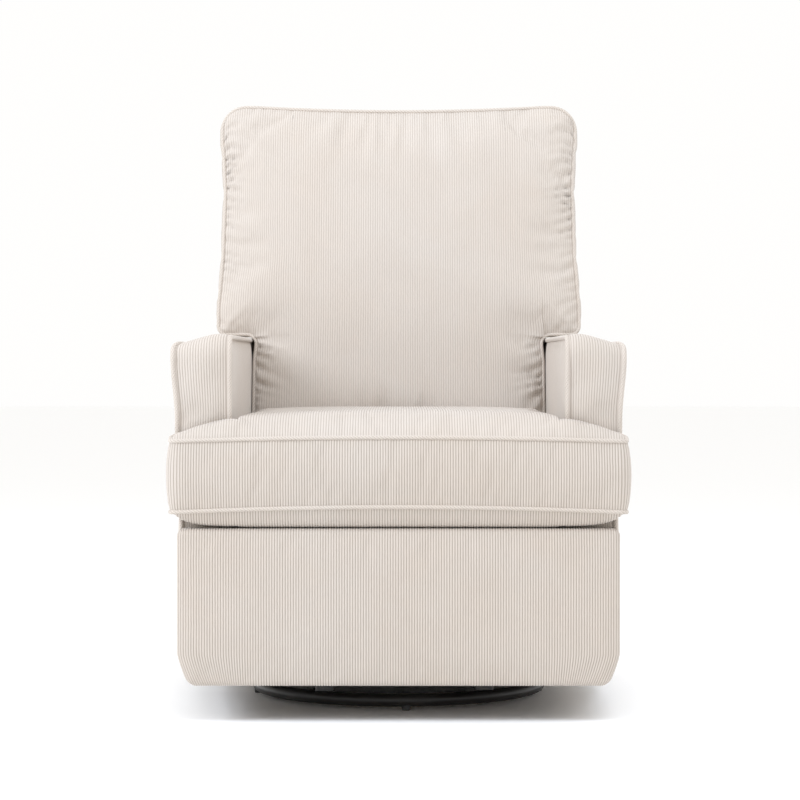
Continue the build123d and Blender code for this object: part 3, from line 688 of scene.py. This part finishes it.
b_low, b_high = edges("back_cushion")
WING = b_high[0] - 6.0
WAIST = arm_low[0] - 8.0
BACK_LOW = b_low[2] + 2.0
BACK_TOP = b_high[2] - 4.0
WING_LOW = arm_high[2] + 3.8
KNEE, KNEE_ROUND = 480.0, 30.0  # where the back starts to lean, and how softly
RUN = math.tan(LEAN)
BACK_DEPTH = 84.0
BACK_ROUND = 45.0  # radius of the back's top corners
WING_ROUND = 16.0  # radius of the wings' lower outer corners
SIDE, FOOT, SHOULDER = 230.0, 720.0, 880.0  # past these the outline's sides, foot and top are shaped
PLAIN = 200.0  # half width of the back's middle, which has no small folds
BACK_CREST = 1060.0  # height of the top seam at its middle
BACK_MIDDLE = (0, 280, 760)
T_ROUND = 17.0  # radius of the corners where the T's wings meet its body


def lean_y(z):
    """The back's flat front line, with a soft bend at the knee."""
    over = z - KNEE
    return b_low[1] + RUN * 0.5 * (over + np.sqrt(over ** 2 + KNEE_ROUND ** 2)) - RUN * 1.5


def t_corner(ap, q):
    """How the T's inner corner is rounded: shifts in x and z that die away into the panel."""
    away = np.clip(np.where(ap > WAIST, ap - WAIST, WING_LOW - q), 0, T_ROUND)
    turn = math.pi / 4 * (1 - away / T_ROUND)
    across, beside = T_ROUND * (1 - np.cos(turn)), T_ROUND * (1 - np.sin(turn)) - away
    fade = 1 - smooth(np.hypot(np.clip(WAIST - ap, 0, None), np.clip(q - WING_LOW, 0, None)), 0, 45)
    wing = ap > WAIST
    return np.where(wing, beside, across) * fade, -np.where(wing, across, beside) * fade


def back_xz(p, q, eased=0.5):
    """The back's outline: slightly waisted wings with round corners, and a body eased out to the arms."""
    half = np.interp(q, [640, 690, 780, 904, 990, 1021, 1070], [335.5, 335, 329, 326.5, 331, 334, 334.5])
    ap = np.abs(p)
    x = np.where(ap > SIDE, SIDE + (ap - SIDE) * (half - SIDE) / (WING - SIDE), ap)
    dip = corner_drop(x - (334.5 - BACK_ROUND), BACK_ROUND, 0.1)
    top = BACK_CREST + 8 * np.clip(x / 270, 0, 1) ** 2 - dip
    z = np.where(q > SHOULDER, SHOULDER + (q - SHOULDER) * (top - SHOULDER) / (BACK_TOP - SHOULDER), q)
    foot = WING_LOW + corner_drop(x - (335.5 - WING_ROUND), WING_ROUND, 0.1)
    z = np.where((ap > WAIST) & (q < FOOT), FOOT - (FOOT - q) * (FOOT - foot) / (FOOT - WING_LOW), z)
    shift_x, shift_z = t_corner(ap, q)
    out = eased * smooth(WING_LOW - q, 12, 55) * smooth(ap, WAIST - 70, WAIST) * (ap <= WAIST + 0.01)
    return np.sign(p) * (x + shift_x + out), z + shift_z


def back_near(p, q):
    """Distance in the panel to the nearest seam."""
    ap = np.abs(p)
    low = np.where(ap > WAIST, q - WING_LOW, np.where(q < WING_LOW, WAIST - ap, 999))
    corner = np.where((ap <= WAIST) & (q >= WING_LOW), np.hypot(WAIST - ap, q - WING_LOW) + 6, 999)
    return np.clip(np.minimum.reduce([low, corner, WING - ap, BACK_TOP - q, q - BACK_LOW]), 0, None)


def gathers(p, q):
    """Small folds where the cover is eased into its side seams, and one drag line at the upper left."""
    side = np.where(p < 0, 0.0, 2.1)
    edge = np.where(q > WING_LOW, WING, WAIST)
    d = np.clip(edge - np.abs(p), 0, None)
    strong = (0.4 + 1.2 * smooth(q, 790, 860) * (1 - smooth(q, 1015, 1050)) + 0.5 * smooth(q, 680, 740)
              + 0.9 * smooth(q, 440, 500) * (1 - smooth(q, 610, 634)))
    turn = q / 5.9 + 1.1 * np.sin(q / 37.0 + side) + 0.7 * np.sin(q / 13.7 + 2 * side) + d * 0.05
    fold = (np.abs(np.sin(turn)) ** 0.8 - 0.62) * strong * (0.75 + 0.25 * np.sin(q / 29 + side))
    reach = 17 + 11 * np.sin(q / 23.0 + 3 * side) ** 2
    small = fold * 9.0 * np.exp(-(d / reach) ** 1.3) * smooth(d, 0, 7)
    beside = (p + 318) * 0.62 + (q - 1015) * 0.785
    down = (p + 318) * 0.785 - (q - 1015) * 0.62
    drag = -2.6 * np.exp(-((beside - down * 0.12) / 9.0) ** 2)
    return small + drag * smooth(down, -10, 30) * (1 - smooth(down, 70, 150))


def back_front(p, q):
    x, z = back_xz(p, q, 3.2)
    near = back_near(p, q)
    rise = (1 - np.exp(-near / 26)) * (13 + 7 * smooth(z, 520, 680)) + gathers(p, q) * smooth(near, 0, 6)
    y = lean_y(z) + 12 - rise
    return stack(x, y, z + 0.25 * rise * smooth(z, 900, 1060))


def back_rear(p, q):
    x, z = back_xz(p, q)
    return stack(x, lean_y(z) + BACK_DEPTH, z - 4 * smooth(z, 1000, 1060))


def back_keep(p, q):
    """The T: its wings above, its body between the arms."""
    return (np.abs(p) < WAIST) | (q > WING_LOW)


back_ps = lines((-WING, 10), (-WAIST, 10), (WAIST, 10), WING)
back_qs = lines((BACK_LOW, 9), (WING_LOW, 9), BACK_TOP)
back_corners = [(-WING, WING_LOW), (-WING, BACK_TOP), (WING, BACK_TOP), (WING, WING_LOW), (WAIST, WING_LOW),
                (WAIST, BACK_LOW), (-WAIST, BACK_LOW), (-WAIST, WING_LOW)]
back_panel = Panel(back_front, back_ps, back_qs, BACK_MIDDLE, back_keep, cap=9.0, pressure=2.2, spare=0.02)
rear_panel = Panel(back_rear, back_ps, back_qs, BACK_MIDDLE, back_keep)
back_seam, back_rear_seam = paired(seam(back_front, back_corners), seam(back_rear, back_corners))


def back_bulge(line):
    """How far the back's boxing stands out: the wings' sides swell, the body's stay clear of the arms."""
    return -1.5 + 7.5 * smooth(line[:, 2], WING_LOW + 4, WING_LOW + 40)


back_band = Band(back_seam, back_rear_seam, back_bulge, BACK_MIDDLE, spare=0.01)


# ---------------- arms

ARM_TOP_INNER = arm_high[2] - 7.5
ARM_TOP_OUTER = arm_high[2] - 18.0
ARM_FRONT = arm_low[1] + 3.8
ARM_REAR = arm_high[1] - 3.8
ARM_ACROSS = 88.0  # width of the band of cloth over the arm
ARM_INNER = arm_low[0] + 4.5  # where the inner seam runs
ARM_OUTER = arm_high[0] - 8.2  # where the outer seam runs, low on the arm
ARM_ROUND = 9.0  # how round the arm's outer top corner is, seen from the front
ARM_PLAIN = 480.0  # below this height the arm's sides have straight front and rear edges
ARM_CORNER = (25.0, 42.0)  # front and rear radius of the arm's top, seen from the side


def arm_profile(top):
    """The (y, z) line of an arm's band: up the front, over the top and down the back."""
    front, rear = ARM_CORNER
    bottom = arm_low[2]
    quarter = np.linspace(0, math.pi / 2, 15)[1:-1]
    y_front, y_rear, sin, cos = ARM_FRONT + front, ARM_REAR - rear, np.sin(quarter), np.cos(quarter)
    pieces = [
        (np.full(60, ARM_FRONT), np.linspace(bottom, top - front, 60)),
        (y_front - front * cos, top - front + front * sin),
        (np.linspace(y_front, y_rear, 80), np.full(80, top)),
        (y_rear + rear * sin, top - rear + rear * cos),
        (np.full(60, ARM_REAR), np.linspace(top - rear, bottom, 60)),
    ]
    return np.concatenate([np.stack(piece, axis=1) for piece in pieces])


def arm_seam_x(y, z):
    """How far out the outer seam runs: the front narrows downwards and its lower corner is drawn in."""
    slim = 7.0 * (1 - smooth(z, 320, 470)) * (1 - smooth(y, ARM_FRONT + 2, ARM_FRONT + 105))
    tuck = 26 * np.clip((116 - z) / 58, 0, 1) ** 1.3 * (1 - smooth(y, ARM_FRONT + 60, ARM_FRONT + 370))
    turned = corner_drop(z - ARM_TOP_OUTER + ARM_ROUND, ARM_ROUND)
    return ARM_OUTER + 7.2 * smooth(z, 489, 592) - turned - slim - tuck


def arm_lines(side):
    """The inner and outer seam lines of one arm, and the outward direction along them."""
    inner, outer = arm_profile(ARM_TOP_INNER), arm_profile(ARM_TOP_OUTER)
    first = stack(side * ARM_INNER, inner[:, 0], inner[:, 1])
    second = stack(side * arm_seam_x(outer[:, 0], outer[:, 1]), outer[:, 0], outer[:, 1])
    ahead = np.gradient(inner, axis=0)
    out = unit(np.stack([-ahead[:, 1], ahead[:, 0]], axis=1))
    return first, second, stack(0, out[:, 0], out[:, 1])


def arm_middle(side):
    return (side * (arm_low[0] + arm_high[0]) / 2, 0, 340)


def arm_band(side):
    """The strip of cloth up an arm's front, over its top and down its back, crowned between its seams."""
    lines_of_arm = arm_lines(side)
    run = lengths((lines_of_arm[0] + lines_of_arm[1]) / 2)

    def place(p, q):
        p, q = np.broadcast_arrays(p, q)
        t = (p / ARM_ACROSS)[..., None]
        first, second, out = [along(line, run, q) for line in lines_of_arm]
        top = smooth(first[..., 2:3], 560, ARM_TOP_INNER - 2)
        crown = top * 8.6 * np.sin(math.pi * t ** 0.55) + (1 - top) * 5.0 * np.sin(math.pi * t ** 0.85)
        return first + (second - first) * t + out * crown

    ps, qs = np.linspace(0, ARM_ACROSS, 10), np.linspace(0, run[-1], int(run[-1] / 10))
    return Panel(place, ps, qs, arm_middle(side), cap=3.0, pressure=1.0, spare=0.006)


def arm_side(side, outer):
    """An arm's outer or inner side."""
    top = ARM_TOP_OUTER if outer else ARM_TOP_INNER
    front, rear = ARM_CORNER

    def place(p, q):
        edge = top - corner_drop(ARM_FRONT + front - p, front) - corner_drop(p - (ARM_REAR - rear), rear)
        shaped = ARM_PLAIN + (q - ARM_PLAIN) * (edge - ARM_PLAIN) / (top - ARM_PLAIN)
        z = np.where(q > ARM_PLAIN, shaped, q)
        near = np.clip(np.minimum(np.minimum(p - ARM_FRONT, ARM_REAR - p), top - q), 0, None)
        if outer:
            x = arm_seam_x(p, z) + 5.4 * (1 - np.exp(-near / 20))
        else:
            x = ARM_INNER - 4.0 * (1 - np.exp(-near / 16))
        return stack(side * x, p, z)

    return Panel(place, lines((ARM_FRONT, 12), ARM_REAR), lines((arm_low[2], 12), top), arm_middle(side),
                 cap=2.6 if outer else 0.6, pressure=0.8, spare=0.004)


def arm_bottom(side):
    """The lining under an arm."""
    def place(p, q):
        across = ARM_INNER + (arm_seam_x(p, arm_low[2]) - ARM_INNER) * q
        return stack(side * across, p, arm_low[2] + 0.2)

    return Panel(place, lines((ARM_FRONT, 24), ARM_REAR), np.linspace(0, 1, 6), arm_middle(side))


ARMS = {side: {"band": arm_band(side), "outer": arm_side(side, True), "inner": arm_side(side, False),
               "bottom": arm_bottom(side)} for side in (-1, 1)}
cup_low, cup_high = edges("handle_cup")


# ---------------- pads that wrap their boards

PAD_ROUND = 13.0  # radius of a pad's corners, seen from the front
TAPER_HEIGHT = 53.0  # how high up its taper reaches


def wrapped(half_x, mid_z, half_z, r, depth, lip, face, inwards, crown, taper=0.0):
    """A pad whose cloth is drawn over its edges without a seam and folded lip deep behind it.
    inwards is +1 where the pad's back is at +Y, and taper draws its lower corners in."""
    arc = r * math.pi / 2
    reach = arc + depth - r
    flat_x, flat_z = half_x - r, half_z - r

    def turned(a, half):
        """How far out a place on the cloth lies, how far it has turned, and how far it is down the edge."""
        b = np.abs(a)
        flat = half - r
        phi = np.clip((b - flat) / r, 0, math.pi / 2)
        wall = np.clip(b - flat - arc, 0, depth - r)
        tuck = np.clip(b - flat - arc - (depth - r), 0, None)
        return np.where(b < flat, b, flat + r * np.sin(phi)) - tuck, phi, wall

    def place(p, q):
        x, fx, wx = turned(p, half_x)
        z, fz, wz = turned(q, half_z)
        a = np.clip((x - half_x) / PAD_ROUND + 1, 0, 1)
        b = np.clip((z - half_z) / PAD_ROUND + 1, 0, 1)
        x = np.where(a * b > 0, half_x - PAD_ROUND + PAD_ROUND * a * np.sqrt(1 - b ** 2 / 2), x)
        z = np.where(a * b > 0, half_z - PAD_ROUND + PAD_ROUND * b * np.sqrt(1 - a ** 2 / 2), z)
        z = mid_z + np.sign(q) * z
        low = np.clip((mid_z - half_z - z) / TAPER_HEIGHT + 1, 0, 1)
        x = x - taper * low ** 1.3 * smooth(x, 230, half_x)
        back = r - r * np.cos(fx) * np.cos(fz) + wx + wz
        near = np.clip(np.minimum(half_x - np.abs(p), half_z - np.abs(q)), 0, None)
        back = back - crown * (1 - np.exp(-near / 30))
        return stack(np.sign(p) * x, face + inwards * back, z)

    def keep(p, q):
        return (np.abs(p) < flat_x + arc) | (np.abs(q) < flat_z + arc)

    def stops(flat):
        end = flat + reach + lip
        return lines((-end, lip / 2), (-end + lip, 5), (-flat - arc, 4), (-flat, 11), (flat, 4),
                     (flat + arc, 5), (end - lip, lip / 2), end)

    def held(p, q):
        return (np.abs(p) > flat_x - 1) | (np.abs(q) > flat_z - 1)

    ps, qs = stops(flat_x), stops(flat_z)
    marks = {"marks_p": ps[np.abs(ps) >= flat_x], "marks_q": qs[np.abs(qs) >= flat_z]}
    middle = (0, face + inwards * depth / 2, mid_z)
    return Panel(place, ps, qs, middle, keep, held=held, cap=2.5, pressure=1.0, spare=0.006), marks


f_low, f_high = edges("footrest_pad")
foot_panel, foot_marks = wrapped(
    half_x=f_high[0] - 1.0, mid_z=(f_low[2] + f_high[2] + 3.0) / 2, half_z=(f_high[2] - f_low[2]) / 2 + 0.9,
    r=10.0, depth=f_high[1] - f_low[1] - 1.0, lip=8.0, face=f_low[1], inwards=1, crown=2.5, taper=19.0)
l_low, l_high = edges("lower_rear_panel")
lower_panel, lower_marks = wrapped(
    half_x=l_high[0] - 0.5, mid_z=(l_low[2] + l_high[2]) / 2, half_z=(l_high[2] - l_low[2]) / 2 - 0.5,
    r=5.0, depth=l_high[1] - l_low[1] - 0.5, lip=4.0, face=l_high[1] - 1.5, inwards=-1, crown=2.5)


# ---------------- outer back

o_low, o_high = edges("back_outer_shell")
bracket_high = edges("back_brackets")[1]
KNUCKLE = 66.0  # radius round the recline pivot
PIVOT = (330.0, o_low[2] + KNUCKLE)
SHELL_TOP = o_high[2] + 2.0
SHELL_NARROW = bracket_high[0] - 4.0
SHELL_FLARE = arm_low[0] - SHELL_NARROW - 5.2
SHELL_ROUND = 20.0  # radius of the outer back's top corners
SHELL_BEND = 12.0  # radius of its bend from the top to the rear
SHELL_HALF = 331.0  # half width that its top corners end at
SHELL_WING = 330.0  # half width of its cloth, as laid out
SHELL_SLOPE = 44.0 / 710.0  # how fast its rear runs forward, going down
SHELL_KNEE = 400.0  # below this height its front edge stays put
SHELL_MIDDLE = (0, 330, 640)


def shell_rear_y(z):
    return o_high[1] - 2.0 - (SHELL_TOP - 16 - z) * SHELL_SLOPE


def shell_front_y(z):
    return lean_y(z) + BACK_DEPTH


SHELL_TOE = (shell_front_y(SHELL_KNEE) + 3, 372.0)  # where the knuckle's cloth meets the front edge


def shell_half(z):
    """Half width of the outer back's wings: it stays just inside the cushion's outline."""
    return np.interp(z, [640, 690, 780, 904, 990, 1070], [332.5, 332, 330.5, 330.5, 331, 331])


def shell_narrow(y):
    """Half width of the outer back between the arms: its rear flares out behind them."""
    return SHELL_NARROW + SHELL_FLARE * smooth(y, 350, 362)


def shell_profile():
    """The (y, z) line of the outer back: from its top front edge, over, down and round the knuckle."""
    turn = np.linspace(0, math.pi, 41)
    r = SHELL_BEND
    top = [(shell_front_y(SHELL_TOP) - 2, SHELL_TOP), (o_high[1] - 2 - r, SHELL_TOP)]
    bend = [(o_high[1] - 2 - r + r * math.sin(a), SHELL_TOP - r + r * math.cos(a))
            for a in np.linspace(0.1, 1.5, 8)]
    rear = [(float(shell_rear_y(z)), z) for z in np.linspace(SHELL_TOP - 16, PIVOT[1] + 4, 60)]
    knuckle = [(PIVOT[0] + KNUCKLE * math.cos(a), PIVOT[1] - KNUCKLE * math.sin(a)) for a in turn]
    front = [(SHELL_TOE[0], SHELL_TOE[1]), (SHELL_TOE[0], b_low[2] + 2)]
    return np.array([(0, y, z) for y, z in top + bend + rear + knuckle + front])


profile = shell_profile()
profile_run = lengths(profile)
WING_Q = float(np.interp(-WING_LOW, -profile[10:70, 2], profile_run[10:70]))
TOP_Q = float(profile_run[6])


def shell_rear(p, q):
    """The outside back: the wings' width above, the flared body below, with rounded top corners."""
    p, q = np.broadcast_arrays(p, q)
    y, z = np.interp(q, profile_run, profile[:, 1]), np.interp(q, profile_run, profile[:, 2])
    ap, wing = np.abs(p), z > WING_LOW - 2
    wide = SIDE + (ap - SIDE) * (shell_half(z) - SIDE) / (SHELL_WING - SIDE)
    narrow = PLAIN + (ap - PLAIN) * (shell_narrow(y) - PLAIN) / (SHELL_NARROW - PLAIN)
    x = np.where(wing & (ap > SIDE), wide, np.where(~wing & (ap > PLAIN), narrow, ap))
    drop = corner_drop(np.abs(x) - SHELL_HALF + SHELL_ROUND, SHELL_ROUND, 0.1) * smooth(z, SHOULDER, 1040)
    y = y - drop * RUN * (1 - smooth(q, 0, TOP_Q))
    near = np.minimum(SHELL_WING - ap, np.where(z < WING_LOW, SHELL_NARROW - ap, 999))
    crown = 4.5 * (1 - np.exp(-np.clip(np.minimum(near, q - TOP_Q), 0, None) / 24)) * smooth(z, 300, 420)
    return stack(np.sign(p) * x, y + np.where(q > TOP_Q, crown, 0), z - drop)


def shell_keep(p, q):
    return (np.abs(p) < SHELL_NARROW) | (q < WING_Q)


def shell_held(p, q):
    """What the cloth simulation leaves alone: the top strip and the stretch round the knuckle."""
    return (q < TOP_Q + 1) | (q > profile_run[68])


shell_panel = Panel(shell_rear,
                    lines((-SHELL_WING, 10.5), (-SHELL_NARROW, 10.5), (SHELL_NARROW, 10.5), SHELL_WING),
                    lines((0, 10), (TOP_Q, 11), (WING_Q, 11), profile_run[-1]), SHELL_MIDDLE, shell_keep,
                    held=shell_held, cap=6.0, pressure=1.5, spare=0.01)


def shell_side(side, wing):
    """One side of the outer back, as upright wales between its front and rear lines."""
    def place(p, q):
        p, q = np.broadcast_arrays(p, q)
        if wing:
            return stack(side * shell_half(q), np.clip(p, shell_front_y(q), shell_rear_y(q)), q)
        round_part = np.sqrt(np.clip(KNUCKLE ** 2 - (q - PIVOT[1]) ** 2, 0, None))
        rear = np.where(q < PIVOT[1], PIVOT[0] + round_part, shell_rear_y(q))
        toe = np.interp(q, [PIVOT[1], SHELL_TOE[1]], [PIVOT[0] - KNUCKLE, SHELL_TOE[0]])
        front = np.where(q < PIVOT[1], PIVOT[0] - round_part, toe)
        y = np.clip(p, np.where(q > SHELL_KNEE, shell_front_y(q), front), rear)
        return stack(side * shell_narrow(y), y, q)

    if wing:
        ps, qs = lines((250, 12), o_high[1]), lines((WING_LOW, 11), SHELL_TOP - SHELL_ROUND)
    else:
        ps, qs = lines((236, 12), o_high[1]), lines((o_low[2], 4), (300, 11), WING_LOW)
    return Panel(place, ps, qs, SHELL_MIDDLE)


def shell_underside(side):
    """The underside of a wing, over the arm."""
    def place(p, q):
        y0, y1 = shell_front_y(WING_LOW), shell_rear_y(WING_LOW)
        return stack(side * p, y0 + (y1 - y0) * q, WING_LOW + 0.3)

    return Panel(place, lines((SHELL_NARROW, 11), shell_half(WING_LOW)), np.linspace(0, 1, 9), SHELL_MIDDLE)


def shell_corner_strip(side):
    """The rounded top corner of a wing's side, from the upright side up to the top strip."""
    def place(p, q):
        p, q = np.broadcast_arrays(p, q)
        x = SHELL_HALF - SHELL_ROUND + SHELL_ROUND * np.cos(q)
        z = SHELL_TOP - SHELL_ROUND + SHELL_ROUND * np.sin(q)
        y = np.clip(p, shell_front_y(z) - 2, shell_rear_y(z) - 1)
        return stack(side * x, y, z)

    return Panel(place, lines((380, 6), o_high[1]), np.linspace(0, math.pi / 2, 12), SHELL_MIDDLE)


# ---------------- making the covers

settle([top_panel, seat_band, back_panel, back_band, foot_panel, lower_panel, shell_panel]
       + [ARMS[side][part] for side in (-1, 1) for part in ("band", "outer", "inner")])

seat_marks = {"marks_p": (-NECK, NECK), "marks_q": (EAR_BACK,)}
build("seat_cushion_cover",
      [top_panel.cloth(wale=0.85, ground_and_shade=0.2, **seat_marks),
       seat_band.cloth(step=1 / 8),
       # The strip under the lower welt gets deep wales with fully dark valleys: painted shade under the
       # cushion's overhang, over the ground's own colour
       bottom_panel.cloth(step=5, keep=seat_strip, wale=1.3, **seat_marks),
       bottom_panel.cloth(bare=True, keep=lambda p, q: ~seat_strip(p, q))],
      "seat", replaces=["seat_cushion"])

# The valley paleness given here (0.35) is the woven ground's own colour plus painted shade in the grooves
back_marks = {"marks_p": (-WAIST, -PLAIN, PLAIN, WAIST), "marks_q": (WING_LOW,), "wale": 0.7, "ground_and_shade": 0.35}
build("back_cushion_cover",
      [back_panel.cloth(step=5, keep=lambda p, q: np.abs(p) > PLAIN, **back_marks),
       back_panel.cloth(step=13, keep=lambda p, q: np.abs(p) < PLAIN, **back_marks),
       back_band.cloth(step=1 / 6),
       rear_panel.cloth(bare=True)],
      "backrest", replaces=["back_cushion"])
build("footrest_pad_cover", [foot_panel.cloth(**foot_marks)],
      "footrest", replaces=["footrest_pad"])
build("lower_rear_cover", [lower_panel.cloth(**lower_marks)],
      "seat", replaces=["lower_rear_panel"])
shell_parts = [shell_panel.cloth(step=11, marks_p=(-SHELL_NARROW, SHELL_NARROW),
                                 marks_q=(*profile_run[:10], WING_Q), per=4)]
shell_parts += [shell_side(side, wing).cloth(step=11, per=4) for side in (-1, 1) for wing in (True, False)]
for side in (-1, 1):
    shell_parts += [shell_underside(side).cloth(bare=True), shell_corner_strip(side).cloth(bare=True)]
build("outer_back_cover", shell_parts, "backrest", replaces=["back_outer_shell"])

CUP_EDGE = 7.0  # how far the handle cup's rim laps over the cloth
HOLE_LOW, HOLE_HIGH = cup_low[1:] + CUP_EDGE, cup_high[1:] - CUP_EDGE
ROUND_MARKS = ARM_TOP_OUTER - ARM_ROUND * np.array([1, 0.75, 0.5, 0.3, 0.15, 0.05])


def beside_cup(p, q):
    """Everything on the arm's outer side but the handle cup's opening."""
    return ~((p > HOLE_LOW[0]) & (p < HOLE_HIGH[0]) & (q > HOLE_LOW[1]) & (q < HOLE_HIGH[1]))


for side, word in ((-1, "left"), (1, "right")):
    parts = ARMS[side]
    outer = {"marks_q": ROUND_MARKS}
    if word == "left":
        outer = {"marks_p": (HOLE_LOW[0], HOLE_HIGH[0]), "keep": beside_cup,
                 "marks_q": (*ROUND_MARKS, HOLE_LOW[1], HOLE_HIGH[1])}
    build(f"arm_{word}_upholstery",
          [parts["band"].cloth(step=9.5, wale=0.85, ground_and_shade=0.2),
           parts["outer"].cloth(step=11, per=4, **outer),
           parts["inner"].cloth(step=13, per=4),
           parts["bottom"].cloth(bare=True)],
          "seat", replaces=[f"arm_cover_{word}"])
    first, second, out = arm_lines(side)
    for label, line, outwards in (("inner", first, -side), ("outer", second, side)):
        route = line + out * 0.6 + np.array([outwards * 0.9, 0, 0])
        build(f"arm_{word}_welt_{label}", tube(route, ARM_WELT, False, starts=5, up=(1, 0.001, 0)),
              "seat", "welting")

for name, line, body in (
    ("seat_welt_upper", seat_upper, "seat"),
    ("seat_welt_lower", seat_lower, "seat"),
    ("back_welt_front", back_seam, "backrest"),
    ("back_welt_rear", back_rear_seam, "backrest"),
):
    build(name, tube(line, WELT, True), body, "welting")


def shell_seam():
    """Where the outside back panel is sewn to the sides: up one side, across the top and down the other."""
    low_q = float(profile_run[72])
    side_narrow = np.stack([np.full(200, -SHELL_NARROW), np.linspace(low_q, WING_Q, 200)], axis=1)
    step = np.stack([np.linspace(-SHELL_NARROW, -SHELL_WING, 40), np.full(40, WING_Q)], axis=1)
    side_wing = np.stack([np.full(300, -SHELL_WING), np.linspace(WING_Q, TOP_Q, 300)], axis=1)
    ease = (1 - np.cos(np.linspace(0, math.pi / 2, 600))) * SHELL_WING
    across = np.stack([-SHELL_WING + ease, np.full(600, TOP_Q)], axis=1)
    half = np.concatenate([side_narrow, step, side_wing, across])
    other = half[::-1] * np.array([-1, 1])
    pq = np.concatenate([half, other])
    line = shell_rear(pq[:, 0], pq[:, 1])
    run = lengths(line)
    return softened(along(line, run, np.arange(0, run[-1], 2.0)), 7, False)


build("outer_back_welt", tube(shell_seam(), WELT, False, up=(0.001, 1, 0)), "backrest", "welting")


# ---------------- the CAD's own pieces

slots = {row["node"]: row["material_slot"] for row in frame["record"]["subparts"]}
for name, node in frame["nodes"].items():
    node.data.materials.clear()
    node.data.materials.append(FINISHES[slots[name]])
